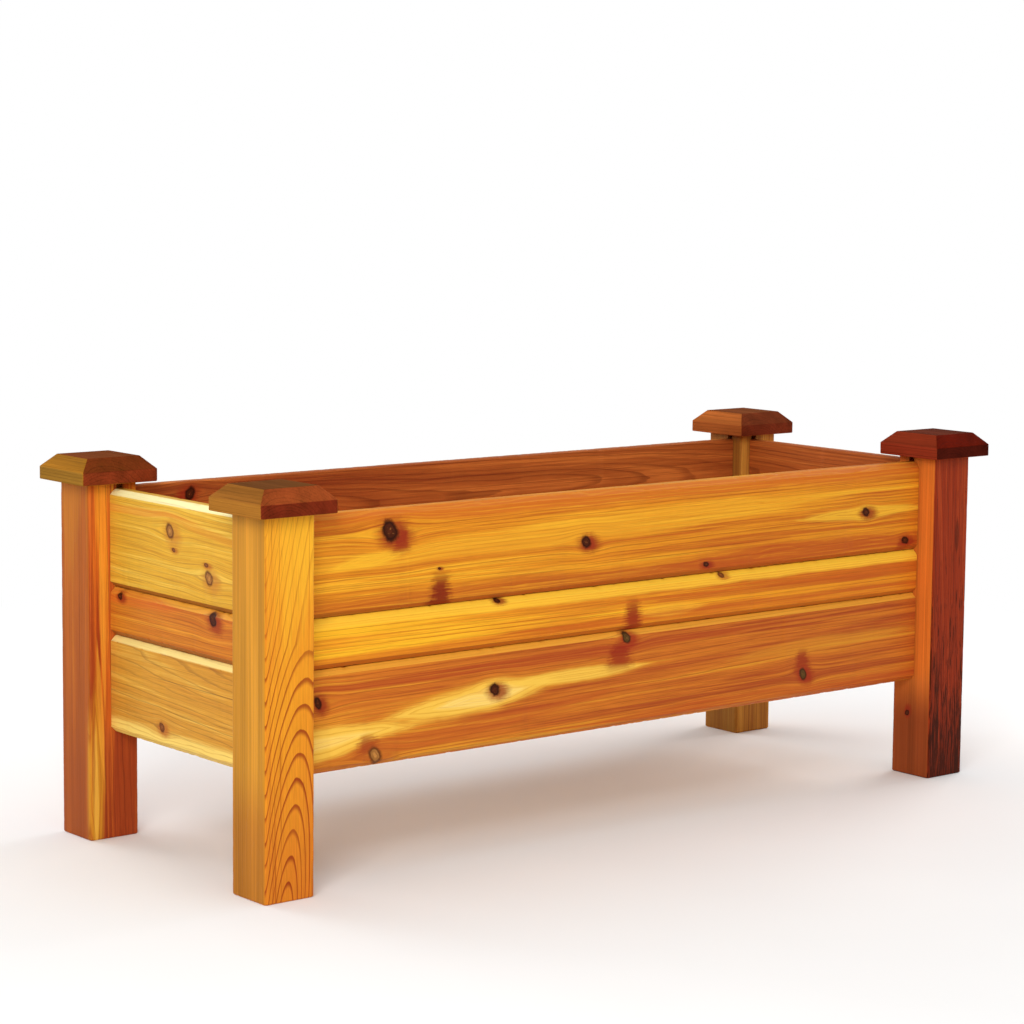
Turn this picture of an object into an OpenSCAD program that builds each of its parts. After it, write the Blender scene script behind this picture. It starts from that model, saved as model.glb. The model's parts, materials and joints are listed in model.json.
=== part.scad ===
// Cedar planter box on four corner legs. Millimetres, +Z up.
// The origin is on the ground, under the middle of the box. The long front faces -Y.
// The wall boards drop into dovetail grooves in the posts from above, and the caps then close the grooves.

/* [Overall] */
// Length over the two end faces of the posts
frame_l = 1181; // [600:1:1800]
// Width over the front and rear faces of the posts
frame_w = 457; // [360:1:900]
// Clear height under the wall boards
leg_h = 136; // [20:1:500]
// How far the top of the walls lies below the undersides of the caps
wall_drop = 8; // [3:0.5:60]

/* [Posts] */
// Side of a square post
post_w = 69; // [57:1:100]
// Radius of the long edges of a post
post_ease = 3; // [1:0.5:6]

/* [Wall boards] */
// Thickness of a wall board
board_t = 22; // [18:0.5:28]
// Face height of the top and the bottom board
wide_h = 123; // [80:1:200]
// Face height of the middle board
narrow_h = 61; // [30:1:150]
// Chamfer along the outer edges of a board, which makes the V joints
board_bevel = 7; // [2:0.5:8.5]
// Small chamfer along the inner edges of a board
board_ease = 1.5; // [0.5:0.5:3]
// How far the outer face of a wall lies outside the middle of its posts
board_out = 4.5; // [-1:0.5:20]

/* [Tongues] */
// Thickness of the tongue on the upper edge of a board
tongue_t = 6; // [4:0.5:7]
// Height of the tongue
tongue_h = 7; // [4:0.5:10]
// Clearance between a tongue and its groove, on each side and above
tongue_clear = 0.3; // [0.1:0.1:0.6]

/* [Dovetails] */
// Length of the tail on each end of a board
tail_l = 10; // [7:0.5:12]
// Thickness of the tail where it leaves the board
tail_neck = 9; // [7:0.5:10]
// Thickness of the tail at its end
tail_wide = 14; // [11:0.5:14]
// Clearance between a tail and its groove in the post, on each side and at the end
tail_clear = 0.2; // [0.1:0.05:0.5]

/* [Caps] */
// How far a cap stands out past each side of its post
cap_over = 19; // [8:1:25]
// Height of the upright rim of a cap
cap_edge = 16; // [8:1:25]
// Height of the sloping part of a cap
cap_rise = 16; // [8:1:25]
// How far the slope runs in from the rim
cap_run = 16; // [8:1:25]
// Diameter of the dowel that locates a cap
peg_d = 12; // [8:1:16]
// Depth of the dowel in the post
peg_in_post = 36; // [20:1:60]
// Height of the dowel above the post
peg_in_cap = 14; // [8:1:18]
// Clearance between the dowel and the hole in the cap, on the radius and above
peg_clear = 0.3; // [0.2:0.1:0.6]

/* [Floor] */
// Thickness of a cleat, out from the wall
cleat_t = 19; // [12:1:25]
// Height of a cleat
cleat_h = 38; // [25:1:50]
// Height of the underside of a cleat above the underside of the wall
cleat_up = 6; // [0:1:20]
// Clearance at each end of a cleat
cleat_clear = 0.5; // [0.2:0.1:2]
// Thickness of a floor slat
slat_t = 16; // [12:1:22]
// Drainage gap beside each slat
slat_gap = 8; // [3:0.5:12]
// Clearance between the ends of a slat and the walls
slat_clear = 1.5; // [0.5:0.5:3]
// Chamfer along the edges of a slat
slat_ease = 1.5; // [0.5:0.5:3]

/* [Screws] */
// Diameter of a screw's shank
screw_d = 4; // [3:0.5:5]
// Diameter of its countersunk head
screw_head_d = 8; // [6.5:0.5:10]
// Length of a screw under the face of its head
screw_l = 32; // [26:1:36]
// Clearance between a screw and its hole
screw_clear = 0.05; // [0.02:0.01:0.2]
// Screws in a long cleat
long_screws = 6; // [3:1:10]
// Screws in an end cleat
end_screws = 3; // [2:1:5]
// Distance of the outermost screws from the ends of a cleat
screw_inset = 40; // [20:1:60]

/* [Hidden] */
$fn = 64;
cut = 1; // how far a cutting shape runs past the face that it opens

// The quarter turn that brings the -Y side round to each wall.
front = 0;
right = 90;
rear = 180;
left = -90;

// Heights, from the ground
middle_z = leg_h + wide_h;
top_z = middle_z + narrow_h;
post_h = top_z + wide_h + wall_drop;

// Wall boards
board_set = post_w / 2 - board_out; // from the outer face of a post back to the outer face of a wall
long_span = frame_l - 2 * post_w;
end_span = frame_w - 2 * post_w;
mid_t = (board_bevel + board_t) / 2; // the middle of the flat part of a board's edge

// Inside of the box
inner_l = frame_l - 2 * (board_set + board_t);
inner_w = frame_w - 2 * (board_set + board_t);

// Floor
slat_count = 8; // the numbered floor slats in NODES
cleat_z = leg_h + cleat_up;
floor_z = cleat_z + cleat_h;
long_cleat_l = long_span - 2 * cleat_clear;
end_cleat_l = min(end_span, inner_w - 2 * cleat_t) - 2 * cleat_clear;
slat_w = (inner_l - (slat_count + 1) * slat_gap) / slat_count;
slat_l = inner_w - 2 * slat_clear;
corner_x = post_w - board_set - board_t; // how far a post stands in past the walls' inner faces

// Screws
screw_head_h = (screw_head_d - screw_d) / 2;
screw_tip_h = 1.5 * screw_d;
screw_tip_d = 0.1 * screw_d;
screw_z = cleat_z + cleat_h / 2;
slot_l = screw_d; // the cross slot follows the shank, so that it stays inside the head
slot_w = 0.3 * screw_d;
slot_depth = 0.8 * screw_head_h;

function wall_distance(side) = (side == front || side == rear ? frame_w : frame_l) / 2;
function span_of(side) = side == front || side == rear ? long_span : end_span;
function cleat_length(side) = side == front || side == rear ? long_cleat_l : end_cleat_l;
function screws_of(side) = side == front || side == rear ? long_screws : end_screws;
function screw_places(side) =
    let (n = screws_of(side), reach = cleat_length(side) - 2 * screw_inset)
    [for (i = [0 : n - 1]) -reach / 2 + i * reach / (n - 1)];

// ---------- placing ----------

// Moves its children, made facing -Y from y = 0 inwards, to a wall: y = 0 goes to its posts' outer faces.
module on_side(side) {
    rotate([0, 0, side]) translate([0, -wall_distance(side), 0]) children();
}

// Draws its children, made for the front left corner, at the corner with these signs of x and y.
module at_corner(x_sign, y_sign) {
    mirror([x_sign > 0 ? 1 : 0, 0, 0]) mirror([0, y_sign > 0 ? 1 : 0, 0])
        translate([-frame_l / 2, -frame_w / 2, 0]) children();
}

// ---------- posts, caps and pegs ----------

// A square with its corner at the origin and four round corners.
module eased_square(side, radius) {
    translate([radius, 0]) square([side - 2 * radius, side]);
    translate([0, radius]) square([side, side - 2 * radius]);
    for (x = [radius, side - radius], y = [radius, side - radius])
        translate([x, y]) circle(r = radius);
}

// The plan of a dovetail that grows from y = 0 towards +Y, or of its groove when it is given a clearance.
module tail_plan(clearance) {
    root = tail_neck / 2 + clearance;
    end = tail_wide / 2 + clearance;
    reach = tail_l + clearance;
    slope = (end - root) / reach;
    polygon([
        [-root + slope * cut, -cut], [root - slope * cut, -cut],
        [end, reach], [-end, reach]
    ]);
}

// One corner post, with a groove for the long wall in its +X face and one for the end wall in its +Y face.
module post() {
    groove_at = board_set + mid_t;
    groove_h = post_h - leg_h + cut;
    color("peru") difference() {
        linear_extrude(post_h) eased_square(post_w, post_ease);
        translate([post_w, groove_at, leg_h]) linear_extrude(groove_h) rotate(90) tail_plan(tail_clear);
        translate([groove_at, post_w, leg_h]) linear_extrude(groove_h) rotate(180) tail_plan(tail_clear);
        translate([post_w / 2, post_w / 2, post_h - peg_in_post]) cylinder(d = peg_d, h = peg_in_post + cut);
    }
}

// The dowels that locate the caps, one glued into the top of each post.
module cap_pegs() {
    color("burlywood") for (x_sign = [-1, 1], y_sign = [-1, 1])
        at_corner(x_sign, y_sign) translate([post_w / 2, post_w / 2, post_h - peg_in_post])
            cylinder(d = peg_d, h = peg_in_post + peg_in_cap);
}

// The outline of a cap, seen from any side.
module cap_outline() {
    rim = post_w / 2 + cap_over;
    polygon([
        [-rim, 0], [rim, 0], [rim, cap_edge],
        [rim - cap_run, cap_edge + cap_rise], [-rim + cap_run, cap_edge + cap_rise],
        [-rim, cap_edge]
    ]);
}

module cap() {
    side = post_w + 2 * cap_over;
    hole_h = peg_in_cap + peg_clear;
    color("saddlebrown") translate([post_w / 2, post_w / 2, post_h]) difference() {
        intersection() {
            rotate([90, 0, 0]) linear_extrude(side, center = true) cap_outline();
            rotate([90, 0, 90]) linear_extrude(side, center = true) cap_outline();
        }
        translate([0, 0, -cut]) cylinder(r = peg_d / 2 + peg_clear, h = hole_h + cut);
    }
}

// ---------- wall boards ----------

// The section of a board: x from its outer face inwards, y up from its lower edge.
module board_section(face_h, has_groove, has_tongue) {
    near = mid_t - tongue_t / 2;
    far = mid_t + tongue_t / 2;
    c = tongue_clear;
    groove = has_groove ? [
        [near - c, 0], [near - c, tongue_h + c], [far + c, tongue_h + c], [far + c, 0]
    ] : [];
    tongue = has_tongue ? [
        [far, face_h], [far, face_h + tongue_h], [near, face_h + tongue_h], [near, face_h]
    ] : [];
    polygon(concat(
        [[board_bevel, 0]], groove,
        [[board_t - board_ease, 0], [board_t, board_ease]],
        [[board_t, face_h - board_ease], [board_t - board_ease, face_h]], tongue,
        [[board_bevel, face_h], [0, face_h - board_bevel], [0, board_bevel]]
    ));
}

// The plan of a board with a tail on each end.
module board_plan(span) {
    translate([-span / 2, 0]) square([span, board_t]);
    for (turn = [-90, 90])
        rotate(turn) translate([turn > 0 ? mid_t : -mid_t, span / 2]) tail_plan(0);
}

// One wall board between two posts, from its outer face at y = 0 inwards, standing on z = 0.
module wall_board(span, face_h, has_groove, has_tongue) {
    long = span + 2 * (tail_l + cut);
    intersection() {
        translate([-long / 2, 0, 0]) rotate([90, 0, 90])
            linear_extrude(long) board_section(face_h, has_groove, has_tongue);
        linear_extrude(face_h + tongue_h + cut) board_plan(span);
    }
}

// The pilot holes of a cleat's screws, on the wall whose outer face is at y = 0.
module pilot_holes(side) {
    for (x = screw_places(side))
        translate([x, board_t + cleat_t, screw_z]) rotate([90, 0, 0])
            cylinder(r = screw_d / 2 + screw_clear, h = screw_l + screw_clear);
}

module top_board(side) {
    color("goldenrod") on_side(side) translate([0, board_set, top_z])
        wall_board(span_of(side), wide_h, true, false);
}

module middle_board(side) {
    color("darkorange") on_side(side) translate([0, board_set, middle_z])
        wall_board(span_of(side), narrow_h, true, true);
}

module bottom_board(side) {
    color("darkgoldenrod") on_side(side) translate([0, board_set, 0]) difference() {
        translate([0, 0, leg_h]) wall_board(span_of(side), wide_h, false, true);
        pilot_holes(side);
    }
}

// ---------- floor ----------

// A screw pointing down from z = 0, the face of its head, with a cross slot.
module wood_screw() {
    difference() {
        union() {
            translate([0, 0, -screw_head_h]) cylinder(d1 = screw_d, d2 = screw_head_d, h = screw_head_h);
            translate([0, 0, screw_tip_h - screw_l]) cylinder(d = screw_d, h = screw_l - screw_tip_h);
            translate([0, 0, -screw_l]) cylinder(d1 = screw_tip_d, d2 = screw_d, h = screw_tip_h);
        }
        for (turn = [0, 90])
            rotate(turn) translate([-slot_l / 2, -slot_w / 2, -slot_depth])
                cube([slot_l, slot_w, slot_depth + cut]);
    }
}

module cleat_screws(side) {
    color("silver") on_side(side)
        for (x = screw_places(side))
            translate([x, board_set + board_t + cleat_t, screw_z]) rotate([-90, 0, 0]) wood_screw();
}

module long_cleat_screws() {
    for (side = [front, rear]) cleat_screws(side);
}

module end_cleat_screws() {
    for (side = [left, right]) cleat_screws(side);
}

// A cleat along the foot of a wall, with countersunk holes.
module cleat(side) {
    length = cleat_length(side);
    sink_r = screw_head_d / 2 + screw_clear;
    color("tan") on_side(side) translate([0, board_set, 0]) difference() {
        translate([-length / 2, board_t, cleat_z]) cube([length, cleat_t, cleat_h]);
        pilot_holes(side);
        for (x = screw_places(side))
            translate([x, board_t + cleat_t - screw_head_h, screw_z]) rotate([-90, 0, 0])
                cylinder(r1 = screw_d / 2 + screw_clear, r2 = sink_r, h = screw_head_h);
    }
}

// The section of a slat, across its width and up from its underside.
module slat_section() {
    e = slat_ease;
    polygon([
        [e, 0], [slat_w - e, 0], [slat_w, e], [slat_w, slat_t - e],
        [slat_w - e, slat_t], [e, slat_t], [0, slat_t - e], [0, e]
    ]);
}

// Slat i, counted from the left. The first and the last are notched round the posts.
module floor_slat(i) {
    x0 = -inner_l / 2 + slat_gap + (i - 1) * (slat_w + slat_gap);
    notch = corner_x + slat_clear;
    color("tan") difference() {
        translate([x0, slat_l / 2, floor_z]) rotate([90, 0, 0]) linear_extrude(slat_l) slat_section();
        for (x_sign = [-1, 1], y_sign = [-1, 1])
            translate([x_sign * inner_l / 2, y_sign * inner_w / 2, floor_z + slat_t / 2])
                cube([2 * notch, 2 * notch, slat_t + cut], center = true);
    }
}

// ---------- the nodes ----------

at_corner(-1, -1) post();  // post_front_left
at_corner(1, -1) post();  // post_front_right
at_corner(-1, 1) post();  // post_rear_left
at_corner(1, 1) post();  // post_rear_right

at_corner(-1, -1) cap();  // cap_front_left
at_corner(1, -1) cap();  // cap_front_right
at_corner(-1, 1) cap();  // cap_rear_left
at_corner(1, 1) cap();  // cap_rear_right
cap_pegs();

top_board(front);  // front_board_top
middle_board(front);  // front_board_middle
bottom_board(front);  // front_board_bottom
top_board(rear);  // rear_board_top
middle_board(rear);  // rear_board_middle
bottom_board(rear);  // rear_board_bottom
top_board(left);  // left_board_top
middle_board(left);  // left_board_middle
bottom_board(left);  // left_board_bottom
top_board(right);  // right_board_top
middle_board(right);  // right_board_middle
bottom_board(right);  // right_board_bottom

cleat(front);  // cleat_front
cleat(rear);  // cleat_rear
cleat(left);  // cleat_left
cleat(right);  // cleat_right
long_cleat_screws();
end_cleat_screws();

floor_slat(1);  // floor_slat_1
floor_slat(2);  // floor_slat_2
floor_slat(3);  // floor_slat_3
floor_slat(4);  // floor_slat_4
floor_slat(5);  // floor_slat_5
floor_slat(6);  // floor_slat_6
floor_slat(7);  // floor_slat_7
floor_slat(8);  // floor_slat_8
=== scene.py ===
import json
import math

import bmesh
import bpy
from mathutils import Matrix, Vector, noise


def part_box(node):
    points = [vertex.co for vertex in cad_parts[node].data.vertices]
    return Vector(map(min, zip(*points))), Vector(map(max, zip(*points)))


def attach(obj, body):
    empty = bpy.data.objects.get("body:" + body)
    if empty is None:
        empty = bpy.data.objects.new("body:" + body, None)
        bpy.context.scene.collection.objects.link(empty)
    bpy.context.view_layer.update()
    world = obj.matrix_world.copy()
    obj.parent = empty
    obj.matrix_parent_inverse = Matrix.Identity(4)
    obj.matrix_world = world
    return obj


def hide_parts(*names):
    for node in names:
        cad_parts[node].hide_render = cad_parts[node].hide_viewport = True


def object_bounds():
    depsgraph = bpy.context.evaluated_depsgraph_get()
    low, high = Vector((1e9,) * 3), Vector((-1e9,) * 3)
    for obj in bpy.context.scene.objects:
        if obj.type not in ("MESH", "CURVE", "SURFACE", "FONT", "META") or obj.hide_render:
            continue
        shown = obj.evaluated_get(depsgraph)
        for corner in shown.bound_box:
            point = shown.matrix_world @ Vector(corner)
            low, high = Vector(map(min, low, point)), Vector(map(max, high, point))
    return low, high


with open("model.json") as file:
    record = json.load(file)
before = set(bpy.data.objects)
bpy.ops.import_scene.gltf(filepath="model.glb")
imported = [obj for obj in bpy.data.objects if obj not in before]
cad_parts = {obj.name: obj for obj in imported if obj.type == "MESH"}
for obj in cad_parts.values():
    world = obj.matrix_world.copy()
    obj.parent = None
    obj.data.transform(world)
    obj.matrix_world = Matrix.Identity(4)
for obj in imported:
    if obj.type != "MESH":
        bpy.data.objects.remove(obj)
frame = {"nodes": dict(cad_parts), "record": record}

cad_low, cad_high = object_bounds()

# Lengths are in metres, apart from the wood patterns, which are in millimetres.
MM = 0.001
ALONG_X = Vector((1, 0, 0))
ALONG_Y = Vector((0, 1, 0))
ALONG_Z = Vector((0, 0, 1))

# Sizes of the joinery, as the frame has them
BEVEL = 7 * MM
BOARD_EASE = 1.5 * MM
SHADOW_GAP = 0.6 * MM  # how far a board's lower edge and its shoulders stay off what they meet
TONGUE_H = 7 * MM
TONGUE_T = 6 * MM
TONGUE_CLEAR = 0.3 * MM
TAIL_L = 10 * MM
TAIL_NECK = 9 * MM
TAIL_WIDE = 14 * MM
TAIL_CLEAR = 0.2 * MM
POST_EASE = 3 * MM
CAP_EDGE = 16 * MM
CAP_RUN = 16 * MM
PEG_HOLE_R = 6.3 * MM
PEG_HOLE_H = 14.3 * MM
SLAT_EASE = 1.5 * MM
SLAT_CLEAR = 1.5 * MM
SCREW_L = 32 * MM
SCREW_R = 2 * MM
SCREW_HEAD_R = 4 * MM
SCREWS_LONG = 6
SCREWS_END = 3
SCREW_INSET = 40 * MM

# How the pieces are eased, worn and shaded
POST_WEAR = 0.45 * MM
CAP_EASE = 1.5 * MM
CAP_WEAR = 0.35 * MM
FLAT_AREA = 60 * MM * MM  # faces over this area are shaded flat

# The floor of the stage: its radius, and where it starts and ends to fade to white
FLOOR_RADIUS = 30.0
FADE_START = 0.8
FADE_END = 1.9
WHITE = (1.0, 1.0, 1.0)

# Sizes of the patterns in the wood, in millimetres: along the grain and across it
SLOW_BENDS = (420.0, 90.0)
RING_WOBBLES = (70.0, 14.0)
TONE_STREAKS = (260.0, 3.4)
HAIR_LINES = (330.0, 1.5)
FIBRES = (38.0, 0.9)
DASHES = (16.0, 0.7)
HALO_STREAKS = (30.0, 1.7)
SMEAR_COMB = (26.0, 1.8)
SMEAR_LUMPS = (9.0, 9.0)
FLECK_PATCHES = (120.0, 16.0)
STREAK_LUMPS = (110.0, 26.0)
STREAK_FIBRES = (45.0, 1.6)
SIDE_STREAKS = (260.0, 2.2)
SIDE_CLOUDS = (600.0, 19.0)

# The grain direction and the outward face of each wall
WALLS = {
    "front": (ALONG_X, -ALONG_Y),
    "rear": (-ALONG_X, ALONG_Y),
    "left": (-ALONG_Y, -ALONG_X),
    "right": (ALONG_Y, ALONG_X),
}
CORNERS = {
    "front_left": (-1, -1),
    "front_right": (1, -1),
    "rear_left": (-1, 1),
    "rear_right": (1, 1),
}
BODY_OF = {
    node: body
    for body, nodes in frame["record"]["behaviour"]["bodies"].items()
    for node in nodes
}


# ---------- node helpers ----------

def wire(tree, socket, value):
    """Feeds an input with a link or with a fixed value."""
    if isinstance(value, bpy.types.NodeSocket):
        tree.links.new(value, socket)
    elif value is not None:
        socket.default_value = value


def add_node(tree, kind, inputs=None, **settings):
    made = tree.nodes.new(kind)
    for name, value in settings.items():
        setattr(made, name, value)
    for key, value in (inputs or {}).items():
        wire(tree, made.inputs[key], value)
    return made


def maths(tree, operation, first, second=None, third=None):
    made = add_node(tree, "ShaderNodeMath", operation=operation)
    for socket, value in zip(made.inputs, (first, second, third)):
        wire(tree, socket, value)
    return made.outputs[0]


def plus(tree, first, second):
    return maths(tree, "ADD", first, second)


def minus(tree, first, second):
    return maths(tree, "SUBTRACT", first, second)


def times(tree, first, second):
    return maths(tree, "MULTIPLY", first, second)


def divided(tree, first, second):
    return maths(tree, "DIVIDE", first, second)


def times_plus(tree, first, second, third):
    """first times second, plus third"""
    return maths(tree, "MULTIPLY_ADD", first, second, third)


def smooth(tree, value, start, end):
    """0 before start and 1 after end, with a soft step between; start may be past end."""
    inputs = {"Value": value, "From Min": start, "From Max": end}
    return add_node(tree, "ShaderNodeMapRange", inputs, interpolation_type="SMOOTHSTEP").outputs[0]


def apart(tree, vector):
    return add_node(tree, "ShaderNodeSeparateXYZ", {0: vector}).outputs


def together(tree, x, y, z):
    return add_node(tree, "ShaderNodeCombineXYZ", {0: x, 1: y, 2: z}).outputs[0]


def length_of(tree, first, second):
    """The length of a flat vector with these two parts."""
    squares = times(tree, second, second)
    return maths(tree, "SQRT", times_plus(tree, first, first, squares))


def scaled(tree, vector, scale):
    inputs = {0: vector, "Scale": scale}
    return add_node(tree, "ShaderNodeVectorMath", inputs, operation="SCALE").outputs[0]


def mixed(tree, factor, first, second):
    made = add_node(tree, "ShaderNodeMix", data_type="RGBA")
    for index, value in ((0, factor), (6, first), (7, second)):
        wire(tree, made.inputs[index], value)
    return made.outputs[2]


def rough_noise(tree, vector, seed, detail=2.0, roughness=0.5):
    """A noise texture's outputs: its value and its three independent values as a colour."""
    inputs = {"Vector": vector, "W": seed, "Scale": 1.0, "Detail": detail, "Roughness": roughness}
    return add_node(tree, "ShaderNodeTexNoise", inputs, noise_dimensions="4D").outputs


def stretched(tree, parts, size):
    """Coordinates for a pattern whose features have this size along the grain and across it."""
    along, across = size
    return together(tree, *(
        divided(tree, part, reach) for part, reach in zip(parts, (along, across, across))))


def pattern(tree, parts, size, seed, detail=2.0, roughness=0.5):
    return rough_noise(tree, stretched(tree, parts, size), seed, detail, roughness)[0]


def new_group(name, kind, inputs, outputs):
    """A node group with these sockets: (label, type[, default]). Returns the tree and its two ends."""
    tree = bpy.data.node_groups.new(name, kind)
    for label, what, *default in inputs:
        socket = tree.interface.new_socket(name=label, in_out="INPUT", socket_type="NodeSocket" + what)
        if default:
            socket.default_value = default[0]
    for label, what in outputs:
        tree.interface.new_socket(name=label, in_out="OUTPUT", socket_type="NodeSocket" + what)
    entry = tree.nodes.new("NodeGroupInput")
    leave = tree.nodes.new("NodeGroupOutput")
    return tree, entry.outputs, leave.inputs


def input_items(group):
    return [item for item in group.interface.items_tree if item.in_out == "INPUT"]


def use_group(tree, group, inputs):
    return add_node(tree, "ShaderNodeGroup", inputs, node_tree=group).outputs


def new_material(name):
    """A material with an empty tree."""
    material = bpy.data.materials.new(name)
    material.use_nodes = True
    material.node_tree.nodes.clear()
    return material, material.node_tree


def wire_surface(tree, shader, kind="ShaderNodeOutputMaterial"):
    leave = add_node(tree, kind)
    wire(tree, leave.inputs["Surface"], shader.outputs[0])


def put_in_scene(name, data):
    made = bpy.data.objects.new(name, data)
    bpy.context.scene.collection.objects.link(made)
    return made


def tone(red, green, blue):
    """An sRGB colour, 0 to 255, as the linear colour that shaders take."""
    def linear(share):
        return share / 12.92 if share <= 0.04045 else ((share + 0.055) / 1.055) ** 2.4
    return (linear(red / 255), linear(green / 255), linear(blue / 255), 1.0)


# ---------- wood ----------

def make_knot_pull():
    """Bends the grain round a knot: the place across the grain is squeezed away from the knot."""
    tree, given, out = new_group(
        "knot pull", "ShaderNodeTree",
        [("Place", "Vector"), ("Pulled", "Vector"), ("Along", "Float"), ("Across", "Float"),
         ("Size", "Float", 8.0), ("Pull", "Float", 1.0)],
        [("Pulled", "Vector")])
    u, v, _ = apart(tree, given["Place"])
    along = minus(tree, u, given["Along"])
    across = minus(tree, v, given["Across"])
    reach_along = divided(tree, along, times(tree, given["Size"], 3.6))
    reach_across = divided(tree, across, times(tree, given["Size"], 2.6))
    far = length_of(tree, reach_along, reach_across)
    fade = maths(tree, "EXPONENT", times(tree, times(tree, far, far), -1.0))
    soft_side = times_plus(tree, given["Size"], 0.5, maths(tree, "ABSOLUTE", across))
    side = divided(tree, across, soft_side)
    push = times(tree, times(tree, given["Pull"], given["Size"]), fade)
    shift = times(tree, push, side)
    moved = together(tree, 0.0, times(tree, shift, -1.0), 0.0)
    pulled = add_node(tree, "ShaderNodeVectorMath", {0: given["Pulled"], 1: moved}, operation="ADD")
    wire(tree, out["Pulled"], pulled.outputs[0])
    return tree


def make_knot_paint():
    """Paints a knot: a ringed heart, a dark rim and a stain that reaches along the grain."""
    tree, given, out = new_group(
        "knot paint", "ShaderNodeTree",
        [("Color", "Color"), ("Height", "Float"), ("Place", "Vector"), ("Along", "Float"),
         ("Across", "Float"), ("Size", "Float", 8.0), ("Stretch", "Float", 1.2), ("Heart", "Color"),
         ("Rim", "Color"), ("Halo", "Color"), ("Halo Strength", "Float", 0.7),
         ("Core Strength", "Float", 1.0)],
        [("Color", "Color"), ("Height", "Float")])
    u, v, w = apart(tree, given["Place"])

    # The place from the knot's middle, with a slant and some noise for a ragged outline
    cell = times(tree, given["Size"], 0.9)
    rough = rough_noise(tree, stretched(tree, (u, v, w), (cell, cell)), given["Along"], 4.0, 0.7)
    jitter_along, jitter_across, ripple = apart(tree, rough[1])
    fine_cell = times(tree, given["Size"], 0.28)
    specks = pattern(tree, (u, v, w), (fine_cell, fine_cell), given["Across"], 3.0, 0.65)
    streaky = pattern(tree, (u, v, w), HALO_STREAKS, given["Along"], 3.0, 0.6)
    along = divided(tree, minus(tree, u, given["Along"]), given["Size"])
    across = divided(tree, minus(tree, v, given["Across"]), given["Size"])
    slanted = times_plus(tree, across, 0.25, along)
    shortened = divided(tree, slanted, given["Stretch"])
    along = times_plus(tree, jitter_along, 0.9, shortened)
    across = times_plus(tree, jitter_across, 0.9, across)
    along = minus(tree, along, 0.45)
    across = minus(tree, across, 0.45)
    far = length_of(tree, along, across)

    # The heart: rings, bright specks in its middle, and a dark rim
    core = times(tree, smooth(tree, far, 1.3, 0.74), given["Core Strength"])
    phase = times_plus(tree, far, 11.0, times(tree, ripple, 7.0))
    rings = times_plus(tree, maths(tree, "SINE", phase), 0.5, 0.5)
    heart = mixed(tree, times(tree, rings, 0.5), given["Heart"], given["Rim"])
    bright = times(tree, smooth(tree, specks, 0.54, 0.74), smooth(tree, far, 0.7, 0.1))
    heart = mixed(tree, bright, heart, tone(190, 122, 60))
    heart = mixed(tree, smooth(tree, far, 0.4, 0.85), heart, given["Rim"])

    # The stain, which reaches further along the grain than across it
    beside = divided(tree, minus(tree, along, 0.55), 1.5)
    beside = length_of(tree, beside, plus(tree, across, 0.35))
    reach = times_plus(tree, streaky, 1.7, minus(tree, beside, 0.85))
    halo = times(tree, smooth(tree, reach, 2.3, 0.7), given["Halo Strength"])
    color = mixed(tree, halo, given["Color"], given["Halo"])
    color = mixed(tree, core, color, heart)
    sunk = times_plus(tree, core, -0.6, given["Height"])
    wire(tree, out["Color"], color)
    wire(tree, out["Height"], sunk)
    return tree


def make_smear_paint():
    """Paints a reddish mark that hangs across the grain, narrow at its top and combed by the grain."""
    tree, given, out = new_group(
        "smear paint", "ShaderNodeTree",
        [("Color", "Color"), ("Place", "Vector"), ("Along", "Float"), ("Across", "Float"),
         ("Half Width", "Float", 10.0), ("Half Height", "Float", 20.0), ("Tone", "Color"),
         ("Strength", "Float", 0.8)],
        [("Color", "Color")])
    u, v, w = apart(tree, given["Place"])
    combed = pattern(tree, (u, v, w), SMEAR_COMB, given["Along"], 3.0, 0.6)
    loose = pattern(tree, (u, v, w), SMEAR_LUMPS, given["Across"], 2.0)
    beside = divided(tree, minus(tree, u, given["Along"]), given["Half Width"])
    beside = plus(tree, beside, times_plus(tree, combed, 1.6, -0.8))
    beside = plus(tree, beside, times_plus(tree, loose, 0.6, -0.3))
    above = divided(tree, minus(tree, v, given["Across"]), given["Half Height"])
    taper = times_plus(tree, above, -0.3, 0.75)
    spread = divided(tree, maths(tree, "ABSOLUTE", beside), taper)
    mask = times(tree, smooth(tree, spread, 1.25, 0.35), smooth(tree, above, 1.1, 0.4))
    mask = times(tree, mask, smooth(tree, above, -1.15, -0.4))
    mask = times(tree, mask, given["Strength"])
    wire(tree, out["Color"], mixed(tree, mask, given["Color"], given["Tone"]))
    return tree


def make_fleck_paint():
    """Paints ragged flecks along the grain that grow denser from one place along it to another."""
    tree, given, out = new_group(
        "fleck paint", "ShaderNodeTree",
        [("Color", "Color"), ("Place", "Vector"), ("None At", "Float"), ("All At", "Float"),
         ("Long", "Float", 40.0), ("Wide", "Float", 2.0), ("Tone", "Color"),
         ("Strength", "Float", 0.8)],
        [("Color", "Color")])
    u, v, w = apart(tree, given["Place"])
    flecks = pattern(tree, (u, v, w), (given["Long"], given["Wide"]), given["All At"], 4.0, 0.68)
    patches = pattern(tree, (u, v, w), FLECK_PATCHES, given["None At"], 2.0)
    dense = times(tree, smooth(tree, u, given["None At"], given["All At"]), 0.14)
    level = plus(tree, times_plus(tree, patches, 0.35, flecks), dense)
    mask = times(tree, smooth(tree, level, 0.78, 0.86), given["Strength"])
    wire(tree, out["Color"], mixed(tree, mask, given["Color"], given["Tone"]))
    return tree


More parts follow.
